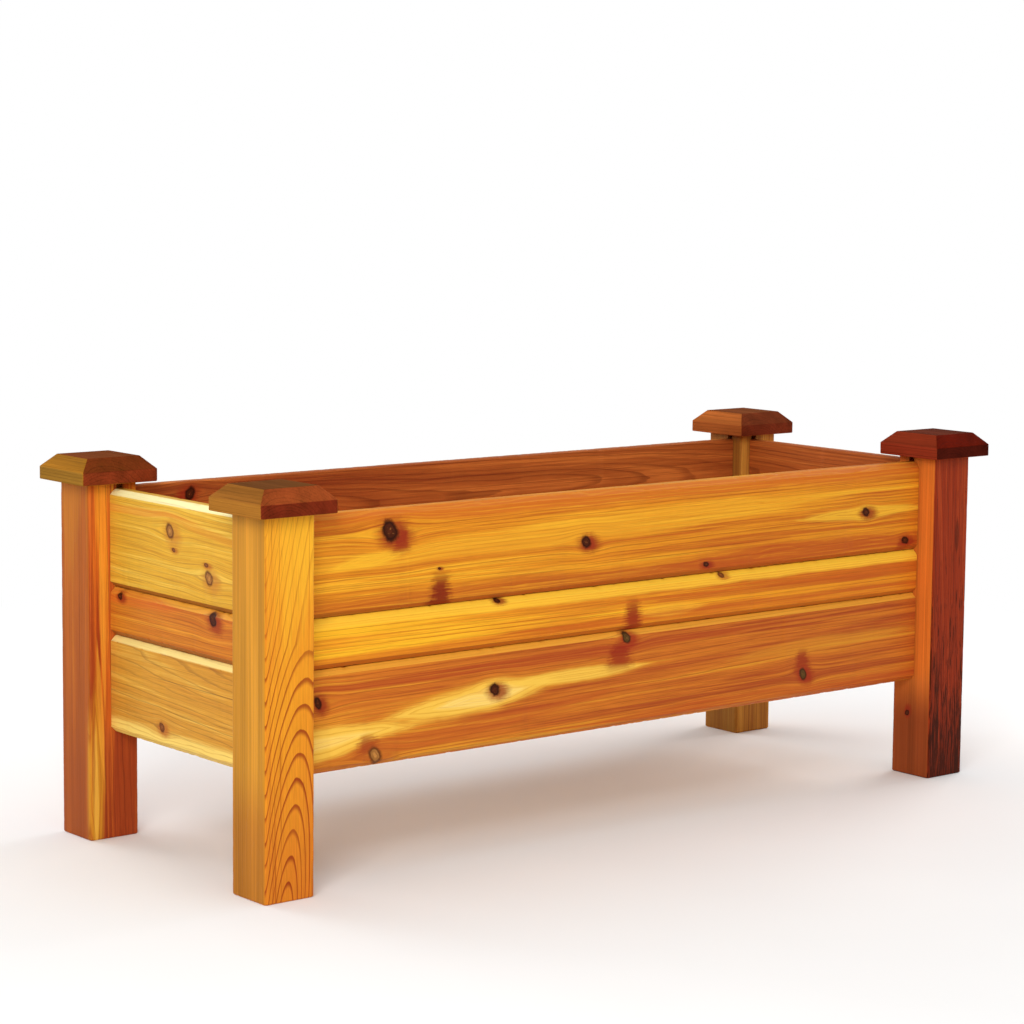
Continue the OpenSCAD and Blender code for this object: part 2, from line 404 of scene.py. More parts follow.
def make_streak_paint():
    """Paints a long lens of another tone, such as a flame of sapwood or a reddish streak."""
    tree, given, out = new_group(
        "streak paint", "ShaderNodeTree",
        [("Color", "Color"), ("Place", "Vector"), ("Along", "Float"), ("Across", "Float"),
         ("Half Length", "Float", 100.0), ("Half Width", "Float", 10.0), ("Tilt", "Float", 0.0),
         ("Softness", "Float", 0.35), ("Tone", "Color"), ("Strength", "Float", 0.8),
         ("Lines", "Float", 0.5), ("Depth", "Float", 12.0)],
        [("Color", "Color")])
    u, v, w = apart(tree, given["Place"])
    away = minus(tree, u, given["Along"])
    rough = pattern(tree, (u, v, w), STREAK_LUMPS, given["Along"], 3.0, 0.55)
    fine = pattern(tree, (u, v, w), STREAK_FIBRES, given["Across"], 2.0)
    middle = times_plus(tree, away, given["Tilt"], given["Across"])
    across = divided(tree, minus(tree, v, middle), given["Half Width"])
    across = plus(tree, across, times_plus(tree, rough, 1.0, -0.5))
    along = divided(tree, away, given["Half Length"])
    lens = times_plus(tree, along, along, maths(tree, "ABSOLUTE", across))
    edge = times_plus(tree, fine, 0.5, minus(tree, lens, 0.25))
    outer = plus(tree, given["Softness"], 1.0)
    inner = minus(tree, 1.0, given["Softness"])
    mask = times(tree, smooth(tree, edge, outer, inner), given["Strength"])
    deep = times(tree, given["Depth"], -1.0)
    mask = times(tree, mask, smooth(tree, w, deep, times(tree, deep, 0.3)))
    nested = maths(tree, "FRACT", times_plus(tree, lens, 2.6, rough))
    lines = times(tree, smooth(tree, nested, 0.6, 0.97), given["Lines"])
    kept = times(tree, mask, minus(tree, 1.0, lines))
    wire(tree, out["Color"], mixed(tree, kept, given["Color"], given["Tone"]))
    return tree


def make_cedar_grain():
    """Growth rings round a leaning pith, with tones that follow the rings and fine fibres on top.

    Place is in millimetres: along the grain, across the face, and out of the face."""
    tree, given, out = new_group(
        "cedar grain", "ShaderNodeTree",
        [("Place", "Vector"), ("Pith Across", "Float"), ("Pith Out", "Float"), ("Lean Across", "Float"),
         ("Lean Out", "Float"), ("Bow From", "Float"), ("Bow", "Float"), ("Ring", "Float"),
         ("Wander", "Float"), ("Seed", "Float"), ("Line Strength", "Float"), ("Bands", "Float"),
         ("Drift", "Float"), ("Bias", "Float"), ("Wobble", "Float"), ("Uneven", "Float"),
         ("Fade", "Float"), ("Faint Above", "Float"), ("Hairs", "Float"), ("Pale", "Color"),
         ("Mid", "Color"), ("Deep", "Color"), ("Line", "Color"), ("Stain", "Color"),
         ("Stain Amount", "Float")],
        [("Color", "Color"), ("Height", "Float"), ("Dull", "Float")])
    u, v, w = apart(tree, given["Place"])
    slow = rough_noise(tree, stretched(tree, (u, v, w), SLOW_BENDS), given["Seed"], 2.0)
    slow_across, slow_out, blotch = apart(tree, slow[1])

    # The pith leans and wanders along the piece, and may bow away past one place.
    above = maths(tree, "MAXIMUM", minus(tree, u, given["Bow From"]), 0.0)
    has_bow = maths(tree, "GREATER_THAN", given["Bow"], 0.0)
    bowed = times(tree, above, given["Bow"])
    pith_across = minus(tree, given["Pith Across"], bowed)
    upright = times(tree, times(tree, above, given["Lean Out"]), has_bow)
    pith_out = minus(tree, given["Pith Out"], upright)

    def from_pith(part, pith, lean, waver):
        leaning = times_plus(tree, u, lean, pith)
        wavering = times(tree, minus(tree, waver, 0.5), given["Wander"])
        return plus(tree, minus(tree, part, leaning), wavering)

    radius = length_of(
        tree, from_pith(v, pith_across, given["Lean Across"], slow_across),
        from_pith(w, pith_out, given["Lean Out"], slow_out))

    # Each year ends in a dark line of late wood, which is fainter in some years.
    wobble = pattern(tree, (u, v, w), RING_WOBBLES, given["Seed"], 3.0)
    count = divided(tree, radius, given["Ring"])
    year_place = together(tree, times(tree, count, 0.31), 0.0, 0.0)
    years = rough_noise(tree, year_place, given["Seed"])[0]
    phase = times_plus(tree, years, given["Uneven"], count)
    phase = times_plus(tree, wobble, given["Wobble"], phase)
    share = maths(tree, "FRACT", phase)
    year = maths(tree, "FLOOR", phase)
    late = smooth(tree, share, given["Fade"], 0.93)
    late = times(tree, late, smooth(tree, share, 1.0, 0.955))
    odds = add_node(tree, "ShaderNodeTexWhiteNoise", {"W": year}, noise_dimensions="1D").outputs[0]
    spread = times(tree, given["Uneven"], 0.45)
    faint = times(tree, minus(tree, 1.0, odds), spread)
    late = times(tree, late, minus(tree, 1.0, faint))
    faint_above = times(tree, smooth(tree, u, 0.0, 150.0), given["Faint Above"])
    late = times(tree, late, minus(tree, 1.0, faint_above))

    # The tones follow the rings, with streaks along the grain.
    ring_place = together(tree, divided(tree, u, 700.0), times(tree, phase, 0.42), 0.0)
    band = rough_noise(tree, ring_place, given["Seed"], 3.0, 0.62)[0]
    streak = pattern(tree, (u, v, w), TONE_STREAKS, given["Seed"], 4.0, 0.62)
    band = plus(tree, times(tree, band, 0.6), times(tree, streak, 0.4))
    band = times_plus(tree, minus(tree, band, 0.5), given["Bands"], 0.5)
    drift = divided(tree, given["Drift"], 1000.0)
    band = plus(tree, band, times(tree, u, drift))
    band = plus(tree, band, given["Bias"])
    color = mixed(tree, smooth(tree, band, 0.3, 0.5), given["Pale"], given["Mid"])
    color = mixed(tree, smooth(tree, band, 0.5, 0.72), color, given["Deep"])
    stain = times(tree, smooth(tree, blotch, 0.5, 0.7), given["Stain Amount"])
    color = mixed(tree, stain, color, given["Stain"])
    color = mixed(tree, times(tree, late, given["Line Strength"]), color, given["Line"])
    hairs = pattern(tree, (u, v, w), HAIR_LINES, given["Seed"], 2.0, 0.55)
    hairs = times(tree, smooth(tree, hairs, 0.56, 0.72), given["Hairs"])
    color = mixed(tree, hairs, color, given["Line"])

    # The fibres on top also give the surface its height.
    fibre = pattern(tree, (u, v, w), FIBRES, given["Seed"], 2.0, 0.6)
    dashes = pattern(tree, (u, v, w), DASHES, given["Seed"], 1.0)
    dashes = smooth(tree, dashes, 0.6, 0.78)
    shade = times_plus(tree, fibre, 0.6, 0.7)
    shade = times_plus(tree, dashes, -0.16, shade)
    height = times_plus(tree, late, 0.5, times(tree, fibre, 0.6))
    height = times_plus(tree, dashes, -0.4, height)
    dull = times_plus(tree, fibre, 0.5, times(tree, late, -0.25))
    wire(tree, out["Color"], scaled(tree, color, shade))
    wire(tree, out["Height"], height)
    wire(tree, out["Dull"], dull)
    return tree


KNOT_PULL = make_knot_pull()
KNOT_PAINT = make_knot_paint()
STREAK_PAINT = make_streak_paint()
SMEAR_PAINT = make_smear_paint()
FLECK_PAINT = make_fleck_paint()
CEDAR_GRAIN = make_cedar_grain()



def tones(*colors):
    """The tones of a wood from sRGB values: pale, mid and deep, its ring lines, and a stain."""
    names = ("Pale", "Mid", "Deep", "Line", "Stain")
    return {name: tone(*color) for name, color in zip(names, colors)}


# The tones of a piece of cedar and the way it was cut from the log
PLAIN_WOOD = {
    "Pith Across": 0.0, "Pith Out": -70.0, "Lean Across": 0.0, "Lean Out": 0.0, "Bow From": 0.0,
    "Bow": 0.0, "Ring": 4.5, "Wander": 12.0, "Wobble": 0.6, "Line Strength": 0.62, "Bands": 1.7,
    "Drift": 0.0, "Bias": 0.0, "Uneven": 1.6, "Fade": 0.66, "Faint Above": 0.0, "Hairs": 0.55,
    **tones((238, 176, 62), (216, 142, 44), (190, 106, 36), (150, 80, 30), (172, 78, 38)),
    "Stain Amount": 0.4,
}
KNOT_TONES = {
    "dark": {
        "Heart": tone(86, 36, 18), "Rim": tone(38, 12, 8), "Halo": tone(146, 44, 24),
        "Halo Strength": 0.85,
    },
    "brown": {
        "Heart": tone(150, 88, 42), "Rim": tone(92, 42, 18), "Halo": tone(176, 82, 34),
        "Halo Strength": 0.65,
    },
    "pale": {
        "Heart": tone(196, 134, 66), "Rim": tone(96, 50, 22), "Halo": tone(186, 98, 38),
        "Halo Strength": 0.5,
    },
    "olive": {
        "Heart": tone(104, 74, 34), "Rim": tone(56, 34, 16), "Halo": tone(156, 46, 26),
        "Halo Strength": 0.85,
    },
}


def frame_axes(grain, face):
    """The turn whose columns are along the grain, across the face, and out of the face."""
    across = face.cross(grain)
    return Matrix((grain, across, face)).transposed()


def object_place(tree, coordinates, origin, grain, face):
    """Object coordinates as millimetres along the grain, across a face, and out of it."""
    inputs = {
        "Vector": coordinates.outputs["Object"], "Location": origin,
        "Rotation": frame_axes(grain, face).to_euler(), "Scale": (MM, MM, MM),
    }
    return add_node(tree, "ShaderNodeMapping", inputs, vector_type="TEXTURE").outputs[0]


def paint_marks(tree, color, place, group, marks):
    """Lays marks over a colour. A mark holds a value for each input of the group, in their order."""
    not_in_marks = ("Color", "Place", "Softness", "Lines", "Depth")
    labels = [item.name for item in input_items(group) if item.name not in not_in_marks]
    for mark in marks:
        inputs = {"Color": color, "Place": place, **dict(zip(labels, mark))}
        color = use_group(tree, group, inputs)[0]
    return color


def paint_side(tree, color, place, normal, height, seed, rings, side):
    """Gives the faces that look one way tones of their own, with a share of the rings in them."""
    direction, upper_tone, lower_tone, strength = side
    facing = add_node(tree, "ShaderNodeVectorMath", {0: normal, 1: direction}, operation="DOT_PRODUCT")
    mask = times(tree, smooth(tree, facing.outputs["Value"], 0.75, 0.95), strength)
    parts = apart(tree, place)
    straight = pattern(tree, parts, SIDE_STREAKS, seed, 3.0, 0.6)
    broad = pattern(tree, parts, SIDE_CLOUDS, seed, 2.0)
    level = times_plus(tree, straight, 0.9, 0.3 * rings - 0.05)
    level = times_plus(tree, broad, 1.2, level)
    level = times_plus(tree, height, -rings, level)
    drop = smooth(tree, parts[0], -60.0, -150.0)
    plain = mixed(tree, drop, upper_tone, lower_tone)
    return mixed(tree, mask, color, scaled(tree, plain, level))


def paint_bevel_light(tree, color, place, height, edge):
    """Paints light or shade on the bevel along one edge of the outer face: a painted highlight on an
    upper bevel, painted shade on a lower one.
    """
    inside, outside, bevel_light_tone, strength = edge
    parts = apart(tree, place)
    near_face = smooth(tree, parts[2], -9.5, -8.0)
    mask = times(tree, smooth(tree, parts[1], inside, outside), near_face)
    own = scaled(tree, bevel_light_tone[:3], times_plus(tree, height, -0.5, 1.15))
    return mixed(tree, times(tree, mask, strength), color, own)


def cedar(name, origin, grain, face, wood, seed, knots=(), streaks=(), smears=(), flecks=(), sides=(),
          side_rings=0.0, edges=(), other_face=None, shine=0.08, rough=0.36):
    """A cedar material for one piece.

    knots are (along, across, size, stretch, kind).
    streaks are (along, across, half length, half width, tilt, tone, strength).
    smears are (along, across, half width, half height, tone, strength).
    flecks are (none at, all at, long, wide, tone, strength).
    sides are (direction, upper tone, lower tone, strength), for a side with a look of its own.
    edges are (inside, outside, tone, strength), for a painted highlight or painted shade on a bevel
    that starts across the face at inside.
    other_face is (origin, face, knots), for knots that show on another face."""
    material, tree = new_material(name)
    coordinates = add_node(tree, "ShaderNodeTexCoord")
    place = object_place(tree, coordinates, origin, grain, face)
    pulled = place
    for along, across, size, _, _ in knots:
        inputs = {"Place": place, "Pulled": pulled, "Along": along, "Across": across, "Size": size}
        pulled = use_group(tree, KNOT_PULL, inputs)[0]
    inputs = {"Place": pulled, "Seed": seed, **PLAIN_WOOD, **wood}
    color, height, dull = use_group(tree, CEDAR_GRAIN, inputs)
    color = paint_marks(tree, color, pulled, FLECK_PAINT, flecks)
    normal = coordinates.outputs["Normal"]
    for side in sides:
        color = paint_side(tree, color, place, normal, height, seed, side_rings, side)
    # Painted highlights and painted shade on the bevels of the boards
    for edge in edges:
        color = paint_bevel_light(tree, color, place, height, edge)
    color = paint_marks(tree, color, pulled, STREAK_PAINT, streaks)
    color = paint_marks(tree, color, place, SMEAR_PAINT, smears)
    painted = [(place, knot) for knot in knots]
    if other_face:
        other_place = object_place(tree, coordinates, other_face[0], grain, other_face[1])
        painted += [(other_place, knot) for knot in other_face[2]]
    for where, (along, across, size, stretch, kind) in painted:
        inputs = {"Color": color, "Height": height, "Place": where, "Along": along, "Across": across}
        inputs.update({"Size": size, "Stretch": stretch, **KNOT_TONES[kind]})
        color, height = use_group(tree, KNOT_PAINT, inputs)
    bump = add_node(tree, "ShaderNodeBump", {"Height": height, "Strength": 0.35, "Distance": 0.6 * MM})
    roughness = times_plus(tree, dull, 0.3, rough)
    wire_surface(tree, add_node(tree, "ShaderNodeBsdfPrincipled", {
        "Base Color": color, "Roughness": roughness, "Normal": bump.outputs[0],
        "Specular IOR Level": shine, "Specular Tint": (1.0, 0.7, 0.35, 1.0),
    }))
    return material


def steel(name):
    """Zinc-plated steel with a fine brushed grain."""
    material, tree = new_material(name)
    place = add_node(tree, "ShaderNodeTexCoord").outputs["Object"]
    fine = add_node(tree, "ShaderNodeTexNoise", {"Vector": place, "Scale": 900.0}).outputs[0]
    cloudy = add_node(tree, "ShaderNodeTexNoise", {"Vector": place, "Scale": 160.0}).outputs[0]
    color = mixed(tree, cloudy, tone(176, 172, 160), tone(206, 204, 198))
    roughness = times_plus(tree, fine, 0.25, 0.25)
    bump = add_node(tree, "ShaderNodeBump", {"Height": fine, "Strength": 0.2, "Distance": 0.1 * MM})
    wire_surface(tree, add_node(tree, "ShaderNodeBsdfPrincipled", {
        "Base Color": color, "Metallic": 1.0, "Roughness": roughness, "Normal": bump.outputs[0],
    }))
    return material


# ---------- mesh helpers ----------

def add_piece(name, mesh, material, slot, *nodes):
    """Puts a finished mesh in the scene in the place of these CAD nodes."""
    mesh.materials.clear()
    mesh.materials.append(material)
    piece = put_in_scene(name, mesh)
    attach(piece, BODY_OF[nodes[0]])
    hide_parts(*nodes)
    return piece


def tidy_mesh(mesh, sharp_angle=32):
    """Merges doubles, turns the faces outwards, and shades it smooth between sharp edges.

    The broad faces are shaded flat, so that a chip in an arris doesn't tint the whole face."""
    work = bmesh.new()
    work.from_mesh(mesh)
    bmesh.ops.remove_doubles(work, verts=work.verts, dist=0.01 * MM)
    bmesh.ops.dissolve_degenerate(work, edges=work.edges, dist=0.005 * MM)
    bmesh.ops.recalc_face_normals(work, faces=work.faces)
    work.to_mesh(mesh)
    work.free()
    is_small = [polygon.area < FLAT_AREA for polygon in mesh.polygons]
    mesh.polygons.foreach_set("use_smooth", is_small)
    mesh.set_sharp_from_angle(angle=math.radians(sharp_angle))
    mesh.update()
    return mesh


def skin(name, rings, closed_ends=(True, True)):
    """A mesh through rings of equally many points, with a face over each end that is closed."""
    mesh = bpy.data.meshes.new(name)
    count = len(rings[0])
    points = [point for ring in rings for point in ring]
    faces = []
    for level in range(len(rings) - 1):
        for i in range(count):
            j = (i + 1) % count
            low, high = level * count, (level + 1) * count
            faces.append((low + i, low + j, high + j, high + i))
    if closed_ends[0]:
        faces.append(tuple(reversed(range(count))))
    if closed_ends[1]:
        faces.append(tuple(range((len(rings) - 1) * count, len(rings) * count)))
    mesh.from_pydata(points, [], faces)
    return mesh


def rounded(corners, segments=3):
    """A closed outline with its corners rounded: corners are (x, y, radius, wear).

    Gives (x, y, inward x, inward y, wear), with guard points by each corner to keep wear local."""
    outline = []
    count = len(corners)
    for i, (x, y, radius, wear) in enumerate(corners):
        here = Vector((x, y))
        before = Vector(corners[i - 1][:2]) - here
        after = Vector(corners[(i + 1) % count][:2]) - here
        half = before.angle(after) / 2
        inward = (before.normalized() + after.normalized()).normalized()
        reach = radius / math.tan(half)
        centre = here + inward * (radius / math.sin(half))
        start = here + before.normalized() * reach
        end = here + after.normalized() * reach
        guard = reach + 1.6 * MM
        if before.length > 4 * guard and wear:
            outline.append((*(here + before.normalized() * guard), 0, 0, 0))
        turn = (start - centre).angle_signed(end - centre)
        for step in range(segments + 1):
            arm = start - centre
            arm.rotate(Matrix.Rotation(-turn * step / segments, 2))
            point = centre + arm
            outline.append((*point, *inward, wear))
        if after.length > 4 * guard and wear:
            outline.append((*(here + after.normalized() * guard), 0, 0, 0))
    return outline


# ---------- stock that is planed to a section ----------

def vector_attribute(tree, name):
    kind = "GeometryNodeInputNamedAttribute"
    return add_node(tree, kind, {0: name}, data_type="FLOAT_VECTOR").outputs[0]


def wire_geometry(tree, geometry, material, leave):
    """Makes copies real and gives the whole a material on its way out of the tree."""
    real = add_node(tree, "GeometryNodeRealizeInstances", {"Geometry": geometry})
    final = add_node(
        tree, "GeometryNodeSetMaterial", {"Geometry": real.outputs[0], "Material": material})
    wire(tree, leave, final.outputs[0])


def make_stock_tree():
    """Sweeps a section along X between two shoulders, steps down its ends, and chips its arrises."""
    tree, given, out = new_group(
        "planed stock", "GeometryNodeTree",
        [("Section", "Geometry"), ("Length", "Float", 1.0), ("Step", "Float", 0.003),
         ("Tail Length", "Float"), ("Tail Low", "Float"), ("Tail High", "Float"),
         ("Tail Flare", "Float"), ("Notch Low", "Float"), ("Notch High", "Float"),
         ("Chip Depth", "Float"), ("Chip Length", "Float", 0.006), ("Seed", "Float"),
         ("Material", "Material")],
        [("Geometry", "Geometry")])
    sliver = 0.02 * MM
    end_points = 5.0  # two for each tail, and one more than there are steps
    half = times(tree, given["Length"], 0.5)
    steps = maths(tree, "CEIL", divided(tree, given["Length"], given["Step"]))
    count = plus(tree, steps, end_points)

    # Stations along X: two for each tail, and one at each step between the shoulders
    line = add_node(tree, "GeometryNodeMeshLine", {"Count": count})
    index = add_node(tree, "GeometryNodeInputIndex").outputs[0]
    last = minus(tree, count, 1.0)
    behind = minus(tree, last, index)
    nearest = maths(tree, "MINIMUM", index, behind)
    side = maths(tree, "SIGN", minus(tree, index, behind))
    place = minus(tree, index, 2.0)
    share = divided(tree, place, minus(tree, count, end_points))
    middle = times(tree, minus(tree, share, 0.5), given["Length"])
    is_tip = maths(tree, "LESS_THAN", nearest, 0.5)
    is_tail = maths(tree, "LESS_THAN", nearest, 1.5)
    tail_reach = plus(tree, times(tree, is_tip, given["Tail Length"]), sliver)
    tail_x = times(tree, side, plus(tree, half, tail_reach))
    step_x = times(tree, is_tail, minus(tree, tail_x, middle))
    station = together(tree, plus(tree, middle, step_x), 0.0, 0.0)
    stations = add_node(
        tree, "GeometryNodeSetPosition", {"Geometry": line.outputs[0], "Position": station})
    path = add_node(tree, "GeometryNodeMeshToCurve", {0: stations.outputs[0]})
    section = add_node(tree, "GeometryNodeMeshToCurve", {0: given["Section"]})
    swept = add_node(tree, "GeometryNodeCurveToMesh", {
        0: path.outputs[0], 1: section.outputs[0], "Fill Caps": True,
    })

    # Past the shoulders, the section is held between the cheeks of the tail and its notch.
    position = add_node(tree, "GeometryNodeInputPosition").outputs[0]
    x, y, z = apart(tree, position)
    past = minus(tree, maths(tree, "ABSOLUTE", x), half)
    beyond = maths(tree, "GREATER_THAN", past, sliver / 2)
    flare = divided(tree, past, given["Tail Length"])
    flare = times(tree, flare, given["Tail Flare"])
    low = minus(tree, given["Tail Low"], flare)
    high = plus(tree, given["Tail High"], flare)

    def limited(value, lowest, highest):
        held = maths(tree, "MINIMUM", maths(tree, "MAXIMUM", value, lowest), highest)
        return times_plus(tree, beyond, minus(tree, held, value), value)

    notched = limited(z, given["Notch Low"], given["Notch High"])
    shaped = together(tree, x, limited(y, low, high), notched)

    # The arrises are chipped inwards.
    inward = vector_attribute(tree, "inward")
    along = divided(tree, x, given["Chip Length"])
    spot = together(tree, along, times(tree, y, 120.0), times(tree, z, 120.0))
    chance = rough_noise(tree, spot, given["Seed"], 3.0, 0.65)[0]
    bite = times(tree, smooth(tree, chance, 0.52, 0.75), given["Chip Depth"])
    bite = times(tree, bite, minus(tree, 1.0, beyond))
    worn = add_node(tree, "GeometryNodeSetPosition", {
        "Geometry": swept.outputs[0], "Position": shaped, "Offset": scaled(tree, inward, bite),
    })
    merged = add_node(
        tree, "GeometryNodeMergeByDistance", {"Geometry": worn.outputs[0], "Distance": 2 * sliver})
    wire_geometry(tree, merged.outputs[0], given["Material"], out["Geometry"])
    return tree


def grown(tree, start, values):
    """The mesh that a geometry tree makes from a starting mesh and its named inputs."""
    holder = put_in_scene("holder", start)
    modifier = holder.modifiers.new("tree", "NODES")
    modifier.node_group = tree
    keys = {item.name: item.identifier for item in input_items(tree)}
    for label, value in values.items():
        modifier[keys[label]] = value
    graph = bpy.context.evaluated_depsgraph_get()
    mesh = bpy.data.meshes.new_from_object(holder.evaluated_get(graph))
    bpy.data.objects.remove(holder)
    return mesh


def section_mesh(outline):
    """The closed outline of a section as a mesh of edges, with its inward directions for wear."""
    mesh = bpy.data.meshes.new("section")
    count = len(outline)
    # A section swept along X has its own X towards -Y and its own Y towards -Z.
    points = [(out, -across, 0) for across, out, *_ in outline]
    mesh.from_pydata(points, [(i, (i + 1) % count) for i in range(count)], [])
    inward = mesh.attributes.new("inward", "FLOAT_VECTOR", "POINT")
    for i, (across, out, in_across, in_out, wear) in enumerate(outline):
        inward.data[i].vector = (0, -in_out * wear, in_across * wear)
    return mesh


def stand_in(mesh, origin, grain, face):
    """Moves stock, which is made along X and faces -Y, to its place in the planter."""
    turn = Matrix((grain, -face, face.cross(grain))).transposed().to_4x4()
    mesh.transform(Matrix.Translation(origin) @ turn)
    return mesh


STOCK = make_stock_tree()
# Painted light on the bevels of the V joints between boards: painted shade on a lower bevel, which
# faces down, and a painted highlight on an upper bevel, which faces up
SHADED_UNDER_BEVEL = tone(160, 88, 34)
LIT_OVER_BEVEL = tone(240, 172, 60)


def board_outline(face_h, thick, has_groove, has_tongue):
    """The section of a wall board: across from its middle, and out from its outer face."""
    half = face_h / 2
    middle = (BEVEL + thick) / 2
    slot_half = TONGUE_T / 2 + TONGUE_CLEAR
    slot_top = -half + TONGUE_H + TONGUE_CLEAR
    tongue_half = TONGUE_T / 2
    fine, soft = 0.3 * MM, 0.8 * MM
    low = -half + (SHADOW_GAP if has_groove else 0)
    corners = [(low, BEVEL, soft, 0.7)]
    if has_groove:
        corners += [(low, middle - slot_half, fine, 0), (slot_top, middle - slot_half, fine, 0)]
        corners += [(slot_top, middle + slot_half, fine, 0), (low, middle + slot_half, fine, 0)]
    corners += [(low, thick - BOARD_EASE, soft, 0.3), (low + BOARD_EASE, thick, soft, 0.3)]
    corners += [(half - BOARD_EASE, thick, soft, 0.3), (half, thick - BOARD_EASE, soft, 0.3)]
    if has_tongue:
        top = half + TONGUE_H
        corners += [(half, middle + tongue_half, fine, 0), (top, middle + tongue_half, fine, 0)]
        corners += [(top, middle - tongue_half, fine, 0), (half, middle - tongue_half, fine, 0)]
    corners += [(half, BEVEL, soft, 1.0), (half - BEVEL, 0, soft, 0.8), (low + BEVEL, 0, soft, 0.8)]
    return rounded([(across, -depth, radius, wear) for across, depth, radius, wear in corners])


def place_of_board(node, face, face_h):
    """The middle of a wall board's outer face."""
    low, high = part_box(node)
    origin = (low + high) / 2
    origin.z = low.z + face_h / 2
    for axis in range(3):
        if face[axis]:
            origin[axis] = high[axis] if face[axis] > 0 else low[axis]
    return origin


def make_board(side, level, wood, seed, knots=(), streaks=(), smears=(),
               under=SHADED_UNDER_BEVEL, over=LIT_OVER_BEVEL):
    """One wall board. under is the painted shade of its lower bevel, and over the painted highlight of
    its upper bevel.
    """
    node = f"{side}_board_{level}"
    grain, face = WALLS[side]
    low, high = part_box(node)
    size = high - low
    has_tongue = level != "top"
    face_h = size.z - (TONGUE_H if has_tongue else 0)
    thick = abs(size.dot(face))
    tail = TAIL_L + SHADOW_GAP
    span = abs(size.dot(grain)) - 2 * tail
    middle = (BEVEL + thick) / 2
    origin = place_of_board(node, face, face_h)
    reach = (face_h / 2 - BEVEL) / MM
    # A painted highlight on the upper bevel, and painted shade on the lower bevel of a board that sits
    # on another
    edges = [(reach, reach + 0.7, over, 0.75)]
    if level != "bottom":
        edges.append((-reach, -reach - 0.7, under, 0.85))
    name = f"cedar {side} {level}"
    material = cedar(name, origin, grain, face, wood, seed, knots, streaks, smears, edges=edges)
    outline = board_outline(face_h, thick, level != "bottom", has_tongue)
    mesh = grown(STOCK, section_mesh(outline), {
        "Length": span, "Step": 3 * MM, "Tail Length": tail,
        "Tail Low": middle - TAIL_NECK / 2, "Tail High": middle + TAIL_NECK / 2,
        "Tail Flare": (TAIL_WIDE - TAIL_NECK) / 2, "Notch Low": -1.0, "Notch High": 1.0,
        "Chip Depth": 2.0 * MM, "Chip Length": 8 * MM, "Seed": float(seed), "Material": material,
    })
    stand_in(mesh, origin, grain, face)
    add_piece(f"{node}_wood", tidy_mesh(mesh), material, "cedar_board", node)


def make_slat(number, total, material):
    """One floor slat. The first and the last are notched round the posts."""
    node = f"floor_slat_{number}"
    low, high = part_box(node)
    size = high - low
    grain, face = ALONG_Y, ALONG_Z
    origin = Vector(((low.x + high.x) / 2, (low.y + high.y) / 2, high.z))
    half = size.x / 2
    notch_low, notch_high, tail = -1.0, 1.0, 0.0
    post_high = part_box("post_front_left")[1]
    if number in (1, total):
        reach = abs(low.y) + post_high.y - SLAT_CLEAR
        tail = reach
        edge = half - (abs(low.x if number == 1 else high.x) + post_high.x - SLAT_CLEAR)
        # across the slat is towards -X
        notch_high = edge if number == 1 else 1.0
        notch_low = -edge if number == total else -1.0
    wear = 0.6
    corners = [(-half, -size.z), (-half, 0), (half, 0), (half, -size.z)]
    outline = rounded([(a, b, SLAT_EASE, wear) for a, b in corners])
    mesh = grown(STOCK, section_mesh(outline), {
        "Length": size.y - 2 * tail, "Step": 4 * MM, "Tail Length": tail, "Tail Low": -1.0,
        "Tail High": 1.0, "Tail Flare": 0.0, "Notch Low": notch_low, "Notch High": notch_high,
        "Chip Depth": 0.9 * MM, "Chip Length": 9 * MM, "Seed": float(number), "Material": material,
    })
    stand_in(mesh, origin, grain, face)
    add_piece(f"{node}_wood", tidy_mesh(mesh), material, "cedar_floor", node)


def make_cleat(side, material):
    """A cleat keeps its countersunk holes, so it is the frame's own shape with its arrises eased."""
    node = f"cleat_{side}"
    work = bmesh.new()
    work.from_mesh(frame["nodes"][node].data)
    bmesh.ops.remove_doubles(work, verts=work.verts, dist=0.001 * MM)
    bmesh.ops.dissolve_limit(work, angle_limit=math.radians(1), verts=work.verts, edges=work.edges)
    mesh = bpy.data.meshes.new(node)
    work.to_mesh(mesh)
    work.free()
    piece = add_piece(f"{node}_wood", mesh, material, "cedar_floor", node)
    bevel = piece.modifiers.new("eased", "BEVEL")
    bevel.width = 1.0 * MM
    bevel.segments = 2
    bevel.limit_method = "ANGLE"
    bevel.angle_limit = math.radians(60)


# ---------- posts, caps and pegs ----------

def post_ring(size, at, grooves, ease, shrink):
    """The plan of the front left post: (a, b), from its left face and from its front face.

    at is how far the middle of a groove is from those faces."""
    neck = TAIL_NECK / 2 + TAIL_CLEAR
    wide = TAIL_WIDE / 2 + TAIL_CLEAR if grooves else neck
    depth = TAIL_L + TAIL_CLEAR if grooves else 0.0
    low, high = shrink, size - shrink
    near, far = low + ease, high - ease
    guard = 3 * MM
    outline = []

    def corner(centre_a, centre_b, start):
        for step in range(7):
            angle = math.radians(start + step * 15)
            outline.append((centre_a + ease * math.cos(angle), centre_b + ease * math.sin(angle)))

    corner(near, near, 180)
    outline += [(near + guard, low), (far - guard, low)]
    corner(far, near, 270)
    outline.append((high, near + guard))
    outline += [(high, at - neck), (high - depth, at - wide)]
    outline += [(high - depth, at + wide), (high, at + neck)]
    outline.append((high, far - guard))
    corner(far, far, 0)
    outline.append((far - guard, high))
    outline += [(at + neck, high), (at + wide, high - depth)]
    outline += [(at - wide, high - depth), (at - neck, high)]
    outline.append((near + guard, high))
    corner(near, far, 90)
    outline += [(low, far - guard), (low, near + guard)]
    return outline


